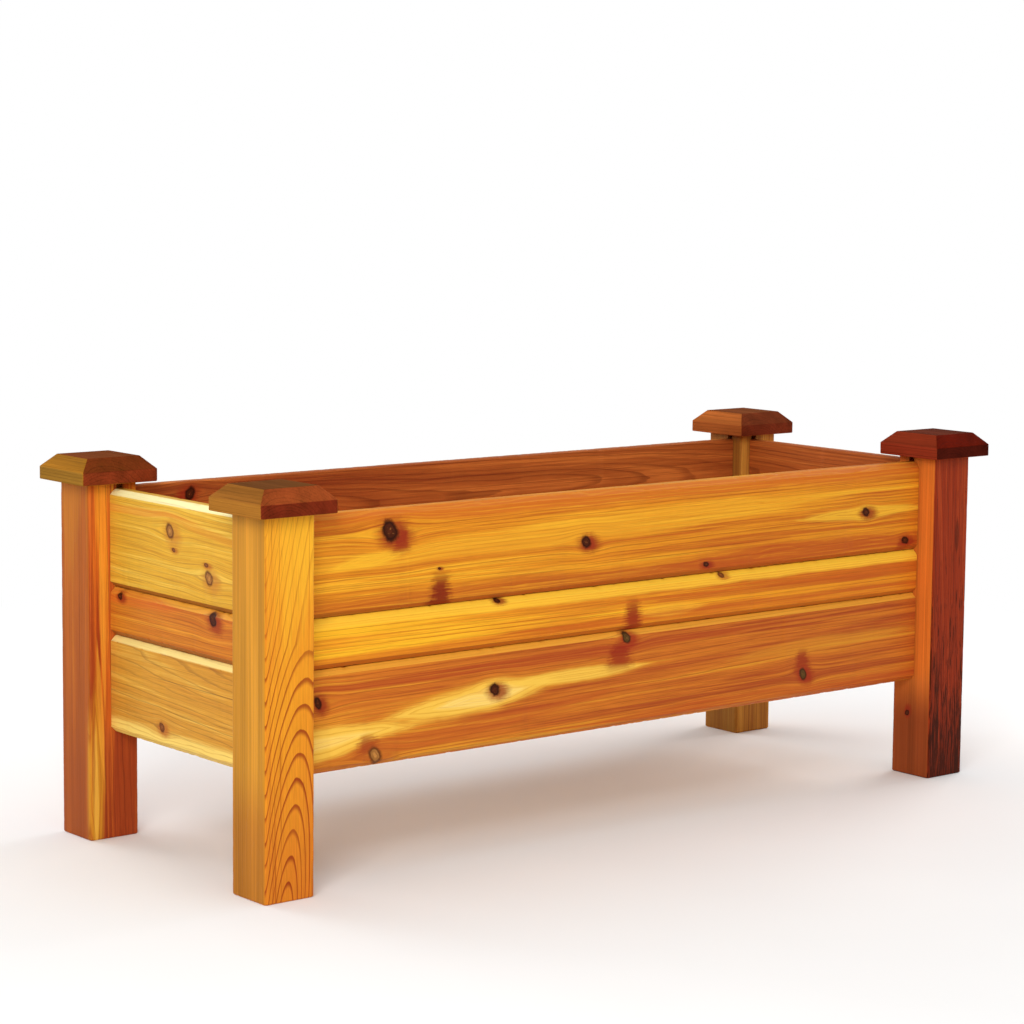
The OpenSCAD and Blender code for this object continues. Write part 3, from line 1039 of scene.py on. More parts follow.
def make_post(corner, material, seed):
    node = f"post_{corner}"
    low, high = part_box(node)
    size, height = high.x - low.x, high.z - low.z
    board_low, board_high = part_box("front_board_bottom")
    groove_z = board_low.z
    set_back = board_low.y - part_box("post_front_left")[0].y
    groove_at = set_back + (BEVEL + board_high.y - board_low.y) / 2
    x_sign, y_sign = CORNERS[corner]
    # Each station is its height, how far the plan shrinks there, and whether it has grooves.
    foot = ((0.0, 1.6), (0.5, 0.8), (1.4, 0.15), (2.2, 0.0))
    stations = [(z * MM, shrink * MM, False) for z, shrink in foot]
    step = 4 * MM
    below = int(groove_z / step)
    stations += [(z * step, 0.0, False) for z in range(1, below)]
    stations += [(groove_z, 0.0, False), (groove_z, 0.0, True)]
    stations += [(z * step, 0.0, True) for z in range(below + 1, int((height - 3 * MM) / step))]
    head = ((1.2, 0.0), (0.4, 0.3), (0.0, 0.9))
    stations += [(height - drop * MM, shrink * MM, True) for drop, shrink in head]
    rings = []
    for z, shrink, cut in stations:
        ring = []
        for a, b in post_ring(size, groove_at, cut, POST_EASE, shrink):
            near_a, near_b = min(a, size - a), min(b, size - b)
            if near_a < POST_EASE and near_b < POST_EASE:
                spot = Vector((a * 90 + seed, b * 90, z * 60))
                wear = max(0.0, noise.noise(spot) - 0.05) * POST_WEAR
                a += wear if a < size / 2 else -wear
                b += wear if b < size / 2 else -wear
            x = low.x + a if x_sign < 0 else high.x - a
            y = low.y + b if y_sign < 0 else high.y - b
            ring.append((x, y, z))
        rings.append(ring)
    mesh = tidy_mesh(skin(node, rings))
    add_piece(f"{node}_wood", mesh, material, "cedar_post", node)


def cap_ring(half, ease, sides=14):
    """A square ring with eased corners, with the same number of points on every ring."""
    outline = []
    for quarter in range(4):
        turn = math.radians(90 * quarter)
        for step in range(sides):
            share = step / sides
            outline.append((turn, half, -half + ease + 2 * (half - ease) * share))
        for step in range(4):
            angle = math.radians(30 * step)
            a = half - ease + ease * math.cos(angle)
            b = half - ease + ease * math.sin(angle)
            outline.append((turn, a, b))
    return [
        (a * math.cos(turn) - b * math.sin(turn), a * math.sin(turn) + b * math.cos(turn))
        for turn, a, b in outline
    ]


def make_cap(corner, material, seed):
    node = f"cap_{corner}"
    low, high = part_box(node)
    centre = (low + high) / 2
    half, base, top = (high.x - low.x) / 2, low.z, high.z
    plan = cap_ring(half, CAP_EASE)
    rings = []

    def circle(radius, z):
        ring = []
        for a, b in plan:
            angle = math.atan2(b, a)
            x = centre.x + radius * math.cos(angle)
            y = centre.y + radius * math.sin(angle)
            ring.append((x, y, z))
        rings.append(ring)

    def square(reach, z, ease):
        ring = []
        for a, b in cap_ring(reach, ease):
            spot = Vector((a * 45 + seed, b * 45, z * 45))
            worn = max(0.0, noise.noise(spot)) * CAP_WEAR
            shrink = 1 - worn / reach
            ring.append((centre.x + a * shrink, centre.y + b * shrink, z))
        rings.append(ring)

    circle(0.5 * MM, base + PEG_HOLE_H)
    circle(PEG_HOLE_R, base + PEG_HOLE_H)
    circle(PEG_HOLE_R, base + 0.6 * MM)
    circle(PEG_HOLE_R + 0.6 * MM, base)
    square(half * 0.6, base, CAP_EASE)
    ease = 1.2 * MM
    for step in range(4):
        angle = math.radians(30 * step)
        square(half - ease + ease * math.sin(angle), base + ease - ease * math.cos(angle), CAP_EASE)
    rim_top = base + CAP_EDGE
    turn_r = 1.5 * MM
    tangent = turn_r * math.tan(math.radians(22.5))
    for up in (6 * MM, 11 * MM):
        square(half, base + up, CAP_EASE)
    for step in range(4):
        angle = math.radians(15 * step)
        reach = half - turn_r + turn_r * math.cos(angle)
        square(reach, rim_top - tangent + turn_r * math.sin(angle), CAP_EASE)
    for share in (0.25, 0.5, 0.75):
        square(half - CAP_RUN * share, rim_top + CAP_RUN * share, 1.4 * MM)
    for step in range(4):
        angle = math.radians(45 + 15 * step)
        reach = half - CAP_RUN - tangent + turn_r * math.cos(angle)
        square(reach, top - turn_r + turn_r * math.sin(angle), 1.2 * MM)
    for share in (0.66, 0.33):
        square((half - CAP_RUN) * share, top, 1.2 * MM)
    square(1.5 * MM, top, 0.5 * MM)
    mesh = tidy_mesh(skin(node, rings))
    add_piece(f"{node}_wood", mesh, material, "cedar_cap", node)


def make_peg(radius, length, flutes=14, per_flute=4):
    """A fluted dowel on the Z axis, standing on z = 0, with eased ends."""
    rings = []
    count = flutes * per_flute
    ease = 1.2 * MM
    for z, shrink in ((0, ease), (ease, 0), (length - ease, 0), (length, ease)):
        ring = []
        for i in range(count):
            angle = 2 * math.pi * i / count
            groove = 0.35 * MM if i % per_flute == 0 else 0.0
            reach = radius - shrink - groove
            ring.append((reach * math.cos(angle), reach * math.sin(angle), z))
        rings.append(ring)
    return tidy_mesh(skin("peg", rings))


def screw_shape():
    """A countersunk wood screw along -Z from the face of its head at z = 0, with a cross recess."""
    count = 32
    head_h = SCREW_HEAD_R - SCREW_R
    arm, width = 2.0 * MM, 0.55 * MM
    pitch, ridge = 1.9 * MM, 0.35 * MM
    rings = []

    def cross(scale, z):
        ring = []
        for i in range(count):
            angle = 2 * math.pi * i / count
            off = (angle + math.pi / 4) % (math.pi / 2) - math.pi / 4
            reach = arm / math.cos(off)
            if abs(off) > 1e-6:
                reach = min(reach, width / abs(math.sin(off)))
            ring.append((scale * reach * math.cos(angle), scale * reach * math.sin(angle), z))
        rings.append(ring)

    def round_ring(radius, z, thread=0.0):
        ring = []
        for i in range(count):
            angle = 2 * math.pi * i / count
            turn = (angle / (2 * math.pi) - z / pitch) % 1.0
            reach = radius - thread * abs(2 * turn - 1)
            ring.append((reach * math.cos(angle), reach * math.sin(angle), z))
        rings.append(ring)

    cross(0.25, -1.6 * MM)
    cross(0.55, -1.5 * MM)
    cross(1.0, 0.0)
    round_ring(SCREW_HEAD_R - 0.25 * MM, 0.0)
    round_ring(SCREW_HEAD_R, -0.15 * MM)
    round_ring(SCREW_R, -head_h)
    round_ring(SCREW_R, -9 * MM)
    tip = 3 * MM
    steps = int((SCREW_L - 9 * MM - tip) / (pitch / 5))
    for step in range(1, steps + 1):
        round_ring(SCREW_R, -9 * MM - step * pitch / 5, ridge * min(1.0, step / 5))
    for share in (0.35, 0.7, 0.97):
        round_ring(SCREW_R * (1 - share), -SCREW_L + tip * (1 - share), ridge * (1 - share))
    return tidy_mesh(skin("screw", rings), sharp_angle=40)


def make_fixing_tree():
    """Sets a copy of a shape on every point, turned to the point's own direction and spun by chance."""
    tree, given, out = new_group(
        "set fixings", "GeometryNodeTree",
        [("Points", "Geometry"), ("Shape", "Object"), ("Spin", "Float"), ("Seed", "Int"),
         ("Material", "Material")],
        [("Geometry", "Geometry")])
    shape = add_node(tree, "GeometryNodeObjectInfo", {"Object": given["Shape"]})
    aim = {"Vector": vector_attribute(tree, "pointing")}
    turn = add_node(tree, "FunctionNodeAlignRotationToVector", aim, axis="Z").outputs[0]
    chance = add_node(tree, "FunctionNodeRandomValue", data_type="FLOAT")
    lowest, highest = [socket for socket in chance.inputs if socket.type == "VALUE"][:2]
    wire(tree, lowest, 0.0)
    wire(tree, highest, given["Spin"])
    wire(tree, chance.inputs["Seed"], given["Seed"])
    amount = next(socket for socket in chance.outputs if socket.type == "VALUE")
    placed = add_node(tree, "GeometryNodeInstanceOnPoints", {
        "Points": given["Points"], "Instance": shape.outputs["Geometry"], "Rotation": turn,
    })
    spin = together(tree, 0.0, 0.0, amount)
    spun = add_node(
        tree, "GeometryNodeRotateInstances", {"Instances": placed.outputs[0], "Rotation": spin})
    wire_geometry(tree, spun.outputs[0], given["Material"], out["Geometry"])
    return tree


FIXINGS = make_fixing_tree()


def set_fixings(name, shape, places, material, slot, *nodes):
    """One piece that holds a copy of shape at every (point, direction)."""
    template = put_in_scene("template", shape)
    points = bpy.data.meshes.new("places")
    points.from_pydata([place for place, _ in places], [], [])
    pointing = points.attributes.new("pointing", "FLOAT_VECTOR", "POINT")
    for i, (_, direction) in enumerate(places):
        pointing.data[i].vector = direction
    mesh = grown(FIXINGS, points, {"Shape": template, "Spin": math.pi, "Seed": 3, "Material": material})
    bpy.data.objects.remove(template)
    for polygon in mesh.polygons:
        polygon.use_smooth = True
    mesh.set_sharp_from_angle(angle=math.radians(35))
    return add_piece(name, mesh, material, slot, *nodes)


def screw_places():
    """The face of every cleat screw's head, with the way that it faces."""
    places = []
    for side, (grain, face) in WALLS.items():
        count = SCREWS_LONG if side in ("front", "rear") else SCREWS_END
        low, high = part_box(f"cleat_{side}")
        middle = (low + high) / 2
        size = high - low
        length, thick = abs(size.dot(grain)), abs(size.dot(face))
        reach = length - 2 * SCREW_INSET
        for i in range(count):
            along = grain * (i / (count - 1) - 0.5) * reach
            places.append((middle + along - face * thick / 2, -face))
    return places


# ---------- the woods of each piece ----------

PALE_AMBER = tone(248, 200, 80)
GOLD = tone(232, 166, 48)
NEAR_BLACK = tone(52, 18, 10)

# What each board shows; cedar and make_board say what the values are. over and under are a painted
# highlight and painted shade on the bevels.
BOARDS = {
    ("front", "top"): dict(
        seed=11.3,
        wood={
            **tones((240, 172, 44), (222, 140, 34), (192, 98, 30), (150, 68, 24), (182, 82, 34)),
            "Pith Across": -112.0, "Pith Out": -46.0, "Lean Across": 0.012, "Ring": 4.4, "Wander": 9.0,
            "Drift": 0.12,
        },
        over=tone(226, 150, 50),
        knots=[
            (-392, 35, 13, 0.85, "dark"),
            (-86, -2, 7.5, 1.0, "dark"),
            (417, -1, 6, 1.2, "dark"),
            (496, -46, 5, 1.4, "dark"),
            (120, -48, 3.5, 1.4, "dark"),
            (-318, -16, 1.6, 1.4, "dark"),
        ],
        smears=[
            (-316, -54, 25, 38, tone(126, 34, 18), 0.92),
            (-374, 24, 15, 18, tone(150, 40, 24), 0.8),
            (-78, -3, 8, 9, tone(186, 70, 34), 0.7),
            (490, -52, 14, 12, tone(150, 50, 26), 0.6),
        ],
        streaks=[
            (0, 56, 1500, 13, 0.0, tone(200, 96, 34), 0.75),
            (-200, -50, 420, 12, 0.0, tone(180, 80, 30), 0.6),
            (330, -46, 330, 16, 0.0, tone(182, 78, 30), 0.7),
            (415, -2, 130, 8, 0.0, tone(244, 190, 56), 0.7),
            (-60, 14, 500, 15, 0.03, tone(238, 172, 46), 0.5),
            (-420, 6, 60, 10, 0.2, tone(246, 188, 50), 0.6),
        ],
    ),
    ("front", "middle"): dict(
        seed=27.1,
        wood={
            **tones((248, 184, 42), (232, 150, 36), (200, 100, 30), (160, 76, 24), (186, 84, 32)),
            "Pith Across": 90.0, "Pith Out": -60.0, "Ring": 4.6, "Wander": 6.0, "Drift": 0.24,
            "Bias": 0.02,
        },
        over=tone(252, 204, 64),
        knots=[(150, 27, 3.5, 1.4, "brown"), (-226, 28, 3, 1.6, "dark")],
        smears=[(-6, -20, 23, 34, tone(146, 44, 22), 0.9)],
        streaks=[
            (-60, 24, 1400, 8, 0.0, tone(254, 200, 60), 0.75),
            (0, -24, 1400, 8, 0.0, tone(206, 108, 32), 0.5),
            (60, -10, 60, 9, 0.0, tone(244, 180, 54), 0.5),
            (300, 2, 320, 4, 0.0, tone(184, 82, 30), 0.6),
            (250, -14, 300, 3, 0.0, tone(190, 88, 32), 0.5),
        ],
    ),
    ("front", "bottom"): dict(
        seed=33.7,
        wood={
            **tones((222, 148, 44), (204, 114, 38), (174, 80, 34), (140, 56, 26), (166, 58, 34)),
            "Pith Across": 104.0, "Pith Out": -40.0, "Lean Across": 0.02, "Ring": 4.8, "Wander": 14.0,
            "Drift": 0.1, "Bias": 0.03, "Line Strength": 0.6,
        },
        knots=[
            (-231, 10, 7.5, 1.0, "dark"),
            (-16, 53, 7.5, 0.9, "olive"),
            (-413, -49, 10.5, 0.85, "pale"),
            (302, -29, 8, 0.8, "olive"),
            (-496, 24, 8, 0.6, "dark"),
        ],
        smears=[
            (-28, 32, 27, 22, tone(146, 40, 24), 0.8),
            (300, -12, 20, 20, tone(146, 42, 26), 0.75),
            (-424, -34, 22, 14, tone(152, 52, 28), 0.7),
        ],
        streaks=[
            (-505, -28, 165, 22, 0.06, GOLD, 0.5),
            (-265, 1, 150, 20, 0.07, GOLD, 0.5),
            (-100, 14, 130, 11, 0.0, GOLD, 0.5),
            (-505, -28, 150, 17, 0.06, PALE_AMBER, 0.9),
            (-265, 1, 130, 16, 0.07, PALE_AMBER, 0.9),
            (-100, 14, 118, 8, 0.0, PALE_AMBER, 0.85),
            (-520, -28, 110, 8, 0.06, tone(255, 220, 124), 0.5),
            (-250, 2, 70, 8, 0.07, tone(255, 222, 130), 0.6),
            (340, 10, 180, 9, 0.03, tone(214, 142, 44), 0.5),
            (-160, 40, 420, 7, 0.01, tone(172, 68, 32), 0.6),
            (300, -52, 420, 9, 0.0, tone(184, 72, 32), 0.6),
            (-300, -36, 300, 10, 0.09, tone(186, 84, 34), 0.5),
        ],
    ),
    ("left", "top"): dict(
        seed=41.9,
        wood={
            **tones((238, 196, 80), (224, 170, 54), (204, 142, 42), (162, 104, 38), (206, 140, 44)),
            "Pith Across": -84.0, "Pith Out": -44.0, "Lean Across": -0.03, "Ring": 4.6, "Wander": 12.0,
            "Wobble": 0.9, "Line Strength": 0.5,
        },
        under=tone(150, 84, 32),
        over=tone(255, 244, 184),
        knots=[
            (-20, 24, 9.5, 0.85, "pale"),
            (66, -23, 9, 0.9, "pale"),
            (-12, 2, 2.5, 1.5, "brown"),
            (60, -8, 2.5, 1.8, "brown"),
        ],
        streaks=[
            # a painted highlight along the top edge, which faces up
            (0, 60, 600, 4, 0.0, tone(255, 242, 176), 0.85),
            (-120, 40, 160, 5, 0.0, tone(222, 128, 40), 0.6),
            (60, 30, 160, 5, -0.1, tone(216, 130, 40), 0.4),
        ],
    ),
    ("left", "middle"): dict(
        seed=52.4,
        wood={
            **tones((228, 152, 48), (210, 126, 38), (190, 100, 32), (152, 76, 28), (184, 84, 34)),
            "Pith Across": -90.0, "Pith Out": -40.0, "Ring": 3.4, "Wander": 6.0,
        },
        under=tone(156, 88, 34),
        knots=[(74, 20, 8.5, 0.85, "dark"), (-136, 22, 4.5, 1.1, "dark")],
        streaks=[(-110, 22, 110, 10, 0.0, tone(214, 96, 36), 0.5)],
    ),
    ("left", "bottom"): dict(
        seed=63.8,
        wood={
            **tones((238, 194, 88), (212, 150, 54), (184, 116, 44), (122, 70, 32), (196, 128, 46)),
            "Pith Across": 56.0, "Pith Out": -40.0, "Lean Out": 0.03, "Lean Across": -0.05, "Ring": 5.6,
            "Wander": 24.0, "Wobble": 0.9, "Line Strength": 0.5, "Bands": 1.1, "Fade": 0.7,
        },
        over=tone(254, 232, 150),
        knots=[(-40, -36, 6, 0.9, "brown")],
        streaks=[
            # a painted highlight along the upper bevel, which faces up
            (0, 60, 600, 5, 0.0, tone(254, 228, 140), 0.9),
            # a pale band along the lower edge: sapwood, with a painted highlight on its bevel for light
            # from the floor
            (0, -55, 600, 13, 0.0, tone(252, 220, 116), 0.8),
        ],
    ),
}

# The walls that the view hides have boards of the same stock.
STOCK_WOODS = [
    {"Pith Across": 14.0, "Pith Out": -55.0, "Lean Out": 0.03, "Ring": 4.4, "Wander": 16.0},
    {"Pith Across": -80.0, "Pith Out": -60.0, "Ring": 4.0, "Bias": -0.05, "Wander": 8.0},
    {
        "Pith Across": -10.0, "Pith Out": -42.0, "Lean Out": -0.05, "Ring": 5.0, "Bias": 0.08,
        "Wander": 20.0,
    },
]
# Darker tones for the top boards of the hidden walls, whose inner faces show inside the planter:
# painted shade for the shadow there
SHADED_STOCK = tones((210, 120, 54), (178, 94, 42), (150, 72, 34), (104, 42, 22), (140, 52, 28))
STOCK_KNOTS = {
    ("rear", "top"): [
        (432, 46, 9, 0.8, "dark"),
        (-140, -30, 6, 1.2, "brown"),
        (210, 6, 8, 1.1, "brown"),
    ],
    ("rear", "middle"): [(60, 8, 6, 1.1, "brown"), (-300, -12, 5, 1.3, "dark")],
    ("rear", "bottom"): [
        (-260, -20, 9, 1.1, "brown"),
        (130, 30, 7, 1.0, "dark"),
        (420, -8, 6, 1.2, "brown"),
    ],
    ("right", "top"): [(-70, 12, 8, 0.9, "brown"), (90, -30, 5, 1.2, "dark")],
    ("right", "middle"): [(30, -6, 5, 1.1, "brown")],
    ("right", "bottom"): [(-110, 26, 7, 1.0, "dark"), (60, -24, 6, 1.1, "brown")],
}


def make_walls():
    for (side, level), look in BOARDS.items():
        make_board(side, level, **look)
    for place, ((side, level), knots) in enumerate(STOCK_KNOTS.items()):
        wood = dict(STOCK_WOODS[place % len(STOCK_WOODS)])
        # The top boards get painted shade
        if level == "top":
            wood.update(SHADED_STOCK)
        make_board(side, level, wood, 70.0 + 7.3 * place, knots)


POSTS = {
    "front_left": dict(
        seed=5.2,
        wood={
            **tones((242, 176, 46), (230, 150, 38), (214, 126, 36), (148, 50, 22), (214, 112, 36)),
            "Pith Across": -19.0, "Pith Out": -46.0, "Lean Across": -0.105, "Lean Out": -0.165,
            "Bow From": 75.0, "Bow": 0.12, "Ring": 4.9, "Wander": 1.5, "Line Strength": 0.95,
            "Wobble": 0.25, "Bands": 0.7, "Drift": -0.9, "Uneven": 0.5, "Fade": 0.66,
            "Faint Above": 0.65,
        },
        sides=[(-ALONG_X, tone(202, 138, 42), tone(184, 116, 36), 1.0)],
    ),
    "rear_left": dict(
        seed=15.6,
        wood={
            **tones((238, 152, 46), (208, 104, 38), (164, 68, 32), (126, 50, 26), (152, 60, 30)),
            "Pith Across": -50.0, "Pith Out": -50.0, "Lean Out": 0.02, "Ring": 4.4, "Wander": 9.0,
            "Bands": 1.9, "Drift": -0.7, "Bias": 0.04,
        },
        streaks=[
            (-150, 26, 130, 11, 0.01, GOLD, 0.6),
            (-160, 27, 90, 4, 0.01, tone(252, 196, 78), 0.7),
            (-60, 20, 90, 4, 0.05, tone(248, 176, 60), 0.6),
            (60, 16, 130, 4, 0.02, tone(244, 164, 56), 0.7),
            (170, 14, 70, 4, 0.0, tone(240, 150, 50), 0.6),
            (-40, 30, 160, 3, 0.0, tone(160, 70, 32), 0.6),
        ],
        sides=[(-ALONG_X, tone(160, 86, 26), tone(152, 78, 24), 0.65)],
    ),
    "front_right": dict(
        seed=22.8,
        wood={
            **tones((170, 64, 28), (146, 48, 22), (116, 34, 16), (60, 18, 10), (98, 28, 14)),
            "Pith Across": 60.0, "Pith Out": -40.0, "Lean Out": -0.05, "Lean Across": 0.03, "Ring": 4.0,
            "Wander": 12.0, "Bands": 1.4, "Line Strength": 0.45, "Drift": -0.4, "Stain Amount": 0.8,
        },
        sides=[(-ALONG_X, tone(212, 114, 42), tone(142, 66, 30), 0.95)],
        streaks=[(114, -13, 26, 4, 0.0, NEAR_BLACK, 0.6), (-100, 20, 60, 4, 0.03, NEAR_BLACK, 0.5)],
        flecks=[(150, -150, 46, 2.4, NEAR_BLACK, 0.85), (-40, -215, 60, 5.0, NEAR_BLACK, 0.8)],
        knots=[(-138, 7, 4, 1.0, "dark")],
    ),
    "rear_right": dict(
        seed=29.4,
        wood={
            **tones((216, 156, 66), (192, 124, 50), (160, 96, 40), (128, 72, 32)),
            "Pith Across": 40.0, "Pith Out": -60.0, "Ring": 4.6, "Wander": 8.0,
        },
        sides=[(-ALONG_X, tone(128, 84, 34), tone(128, 84, 34), 0.6)],
    ),
}


def make_posts():
    for corner, look in POSTS.items():
        low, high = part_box(f"post_{corner}")
        middle = (low + high) / 2
        origin = Vector((middle.x, low.y, middle.z))
        other = (Vector((low.x, middle.y, middle.z)), -ALONG_X, look.get("knots", ()))
        material = cedar(
            f"cedar post {corner}", origin, ALONG_Z, -ALONG_Y, look["wood"], look["seed"],
            streaks=look.get("streaks", ()), flecks=look.get("flecks", ()), sides=look["sides"],
            other_face=other)
        make_post(corner, material, look["seed"])


# Each cap's tones by face; the top tone is painted shade
CAPS = {
    "front_left": dict(
        seed=3.1,
        side=tone(156, 102, 38),
        slope=tone(158, 100, 38),
        end=tone(108, 33, 18),
        top=tone(104, 60, 26),
        chamfer=tone(142, 62, 29),
    ),
    "rear_left": dict(
        seed=9.4,
        side=tone(150, 107, 40),
        slope=tone(160, 106, 30),
        end=tone(128, 50, 26),
        top=tone(112, 52, 24),
        chamfer=tone(104, 38, 17),
    ),
    "front_right": dict(
        seed=14.7,
        side=tone(134, 47, 26),
        slope=tone(128, 46, 24),
        end=tone(66, 18, 11),
        top=tone(88, 36, 18),
        chamfer=tone(92, 16, 4),
    ),
    "rear_right": dict(
        seed=19.9,
        side=tone(160, 84, 38),
        slope=tone(166, 90, 40),
        end=tone(110, 42, 24),
        top=tone(110, 56, 26),
        chamfer=tone(104, 42, 22),
    ),
}
# The cut of a cap, and what its tones are as shares of the tone of its slopes
CAP_CUT = {"Pith Across": 22.0, "Pith Out": -70.0, "Ring": 3.6, "Wander": 8.0, "Line Strength": 0.5}
CAP_SHARES = {"Pale": 1.3, "Mid": 1.0, "Deep": 0.75, "Line": 0.4, "Stain": 0.6}


def make_caps():
    for corner, look in CAPS.items():
        low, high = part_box(f"cap_{corner}")
        middle = (low + high) / 2
        origin = Vector((middle.x, middle.y, high.z))
        red, green, blue, _ = look["slope"]
        wood = dict(CAP_CUT)
        for name, share in CAP_SHARES.items():
            wood[name] = (share * red, share * green, share * blue, 1.0)
        side, end, top, chamfer = (look[part] for part in ("side", "end", "top", "chamfer"))
        # The top's own tone is darker: painted shade against the light that falls on it from above
        sides = [(ALONG_Z, top, top, 0.9)]
        sides += [(way, side, side, 0.9) for way in (-ALONG_X, ALONG_X)]
        sides += [(way, end, end, 0.95) for way in (-ALONG_Y, ALONG_Y)]
        for way in (ALONG_Y, -ALONG_Y):
            sides.append(((way + ALONG_Z).normalized(), chamfer, chamfer, 0.9))
        material = cedar(
            f"cedar cap {corner}", origin, ALONG_Y, ALONG_Z, wood, look["seed"], sides=sides,
            side_rings=0.7, shine=0.01, rough=0.7)
        make_cap(corner, material, look["seed"])


def make_floor():
    total = sum(1 for node in frame["nodes"] if node.startswith("floor_slat_"))
    plain = {
        **tones((232, 184, 96), (212, 156, 76), (188, 126, 60), (156, 96, 46), (184, 116, 58)),
        "Wander": 14.0,
    }
    for number in range(1, total + 1):
        low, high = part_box(f"floor_slat_{number}")
        middle = (low + high) / 2
        origin = Vector((middle.x, middle.y, high.z))
        wood = {
            **plain,
            "Pith Across": 30.0 * math.sin(2.3 * number),
            "Pith Out": -40.0 - 6.0 * number,
            "Lean Out": 0.06 * math.cos(1.7 * number),
            "Ring": 4.2 + 0.2 * (number % 4),
            "Bias": 0.1 * math.sin(3.1 * number),
        }
        knots = []
        if number % 3 != 1:
            knots = [(110 * math.sin(5.1 * number), 34 * math.cos(2.9 * number), 6.5, 1.1, "brown")]
        seed = 90.0 + 4.7 * number
        material = cedar(f"cedar slat {number}", origin, ALONG_Y, ALONG_Z, wood, seed, knots)
        make_slat(number, total, material)
    for place, (side, (grain, face)) in enumerate(WALLS.items()):
        low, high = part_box(f"cleat_{side}")
        wood = {**plain, "Pith Across": 60.0, "Pith Out": -30.0, "Ring": 4.0}
        seed = 130.0 + 5.9 * place
        material = cedar(f"cedar cleat {side}", (low + high) / 2, grain, -face, wood, seed)
        make_cleat(side, material)


def make_fixings():
    low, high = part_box("cap_pegs")
    post_low, post_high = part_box("post_front_left")
    radius = (post_low.x + post_high.x) / 2 - low.x
    places = []
    for x_sign, y_sign in CORNERS.values():
        x = x_sign * (abs(low.x) - radius)
        y = y_sign * (abs(low.y) - radius)
        places.append((Vector((x, y, low.z)), ALONG_Z))
    beech = {
        **tones((226, 190, 140), (212, 172, 120), (196, 152, 100), (176, 130, 84), (198, 150, 100)),
        "Ring": 2.0, "Line Strength": 0.3,
    }
    wood = cedar("dowel wood", (low + high) / 2, ALONG_Z, -ALONG_Y, beech, 151.0)
    peg = make_peg(radius, high.z - low.z)
    set_fixings("cap_pegs_dowels", peg, places, wood, "dowel", "cap_pegs")
    screws = ("long_cleat_screws", "end_cleat_screws")
    zinc = steel("zinc-plated steel")
    set_fixings("cleat_screws_steel", screw_shape(), screw_places(), zinc, "screw_steel", *screws)


# ---------- stage ----------

def make_floor_stage():
    """A plain pale floor that fades to white away from the planter."""
    mesh = bpy.data.meshes.new("studio floor")
    work = bmesh.new()
    bmesh.ops.create_circle(work, cap_ends=True, segments=96, radius=FLOOR_RADIUS)
    work.to_mesh(mesh)
    work.free()
    floor = put_in_scene("studio_floor", mesh)
    floor.location.z = cad_low.z
    material, tree = new_material("pale floor")
    place = add_node(tree, "ShaderNodeTexCoord").outputs["Object"]
    x, y, _ = apart(tree, place)
    away = smooth(tree, length_of(tree, x, y), FADE_START, FADE_END)
    cloudy = add_node(tree, "ShaderNodeTexNoise", {"Vector": place, "Scale": 3.0})
    pale = mixed(tree, cloudy.outputs[0], (0.86, 0.86, 0.86, 1.0), (0.9, 0.9, 0.9, 1.0))
    matt = add_node(tree, "ShaderNodeBsdfPrincipled", {
        "Base Color": pale, "Roughness": 0.8, "Specular IOR Level": 0.1,
    })
    bright = add_node(tree, "ShaderNodeEmission", {"Color": (*WHITE, 1.0), "Strength": 1.0})
    both = add_node(tree, "ShaderNodeMixShader", {0: away, 1: matt.outputs[0], 2: bright.outputs[0]})
    wire_surface(tree, both)
    mesh.materials.append(material)


# The lights: name, place, width, height, watts, colour
LIGHT_AIM = Vector((0.0, 0.0, 0.28))
LIGHTS = (
    ("key", (-2.8, -2.4, 2.0), 1.6, 1.6, 76.0, (1.0, 0.98, 0.95)),
    ("front fill", (0.6, -3.4, 1.4), 2.0, 1.4, 8.0, WHITE),
    ("right fill", (3.2, 0.4, 1.5), 2.0, 1.6, 50.0, WHITE),
    ("rear fill", (-1.0, 3.4, 1.5), 2.4, 1.6, 60.0, WHITE),
)


def add_area_light(name, place, width, height, watts, color):
    light = bpy.data.lights.new(name, "AREA")
    light.shape = "RECTANGLE"
    light.size, light.size_y = width, height
    light.energy = watts
    light.color = color
    lamp = put_in_scene(name, light)
    lamp.location = place
    lamp.rotation_euler = (LIGHT_AIM - Vector(place)).to_track_quat("-Z", "Y").to_euler()


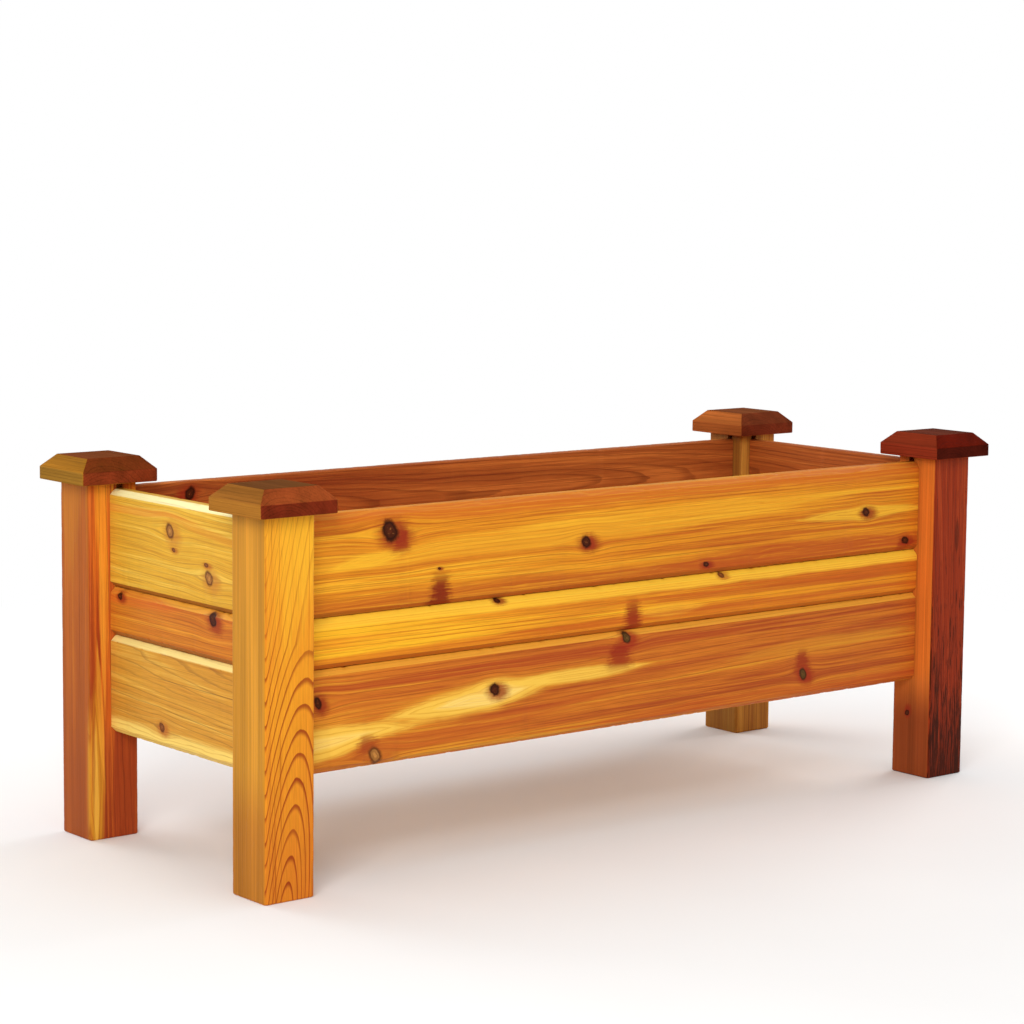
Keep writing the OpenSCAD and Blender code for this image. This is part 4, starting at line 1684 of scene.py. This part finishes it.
def make_light():
    """A sky that the camera sees as white and that lights more from above, with four area lights."""
    world = bpy.data.worlds.new("studio")
    world.use_nodes = True
    tree = world.node_tree
    tree.nodes.clear()
    path = add_node(tree, "ShaderNodeLightPath")
    direction = add_node(tree, "ShaderNodeTexCoord").outputs["Generated"]
    height = apart(tree, direction)[2]
    level = times_plus(tree, smooth(tree, height, 0.1, 0.75), 0.55, 0.22)
    around = add_node(tree, "ShaderNodeBackground", {"Color": (*WHITE, 1.0), "Strength": level})
    seen = add_node(tree, "ShaderNodeBackground", {"Color": (*WHITE, 1.0), "Strength": 1.0})
    both = add_node(tree, "ShaderNodeMixShader", {
        0: path.outputs["Is Camera Ray"], 1: around.outputs[0], 2: seen.outputs[0],
    })
    wire_surface(tree, both, "ShaderNodeOutputWorld")
    bpy.context.scene.world = world
    for light in LIGHTS:
        add_area_light(*light)


# The camera: its place, its angles in degrees, its lens in millimetres, and the shift of its picture
CAMERA_PLACE = Vector((-2.37599, -2.87260, 0.86248))
CAMERA_AZIMUTH = 39.677
CAMERA_ELEVATION = 6.489
CAMERA_ROLL = 0.607
CAMERA_LENS = 99.488
CAMERA_SHIFT = (-0.03024, -0.03524)


def make_camera():
    angles = (CAMERA_AZIMUTH, CAMERA_ELEVATION, CAMERA_ROLL)
    azimuth, elevation, roll = (math.radians(angle) for angle in angles)
    flat = math.cos(elevation)
    ahead = Vector((math.sin(azimuth) * flat, math.cos(azimuth) * flat, -math.sin(elevation)))
    right = Vector((math.cos(azimuth), -math.sin(azimuth), 0))
    above = right.cross(ahead)
    rolled_right = right * math.cos(roll) + above * math.sin(roll)
    rolled_above = above * math.cos(roll) - right * math.sin(roll)
    data = bpy.data.cameras.new("camera")
    data.lens = CAMERA_LENS
    data.shift_x, data.shift_y = CAMERA_SHIFT
    data.clip_start, data.clip_end = 0.1, 100.0
    camera = put_in_scene("camera", data)
    turn = Matrix((rolled_right, rolled_above, -ahead)).transposed().to_4x4()
    camera.matrix_world = Matrix.Translation(CAMERA_PLACE) @ turn
    bpy.context.scene.camera = camera
    bpy.context.scene.view_settings.view_transform = "Standard"


make_camera()
make_light()
make_floor_stage()
make_walls()
make_posts()
make_caps()
make_floor()
make_fixings()

bpy.context.view_layer.update()
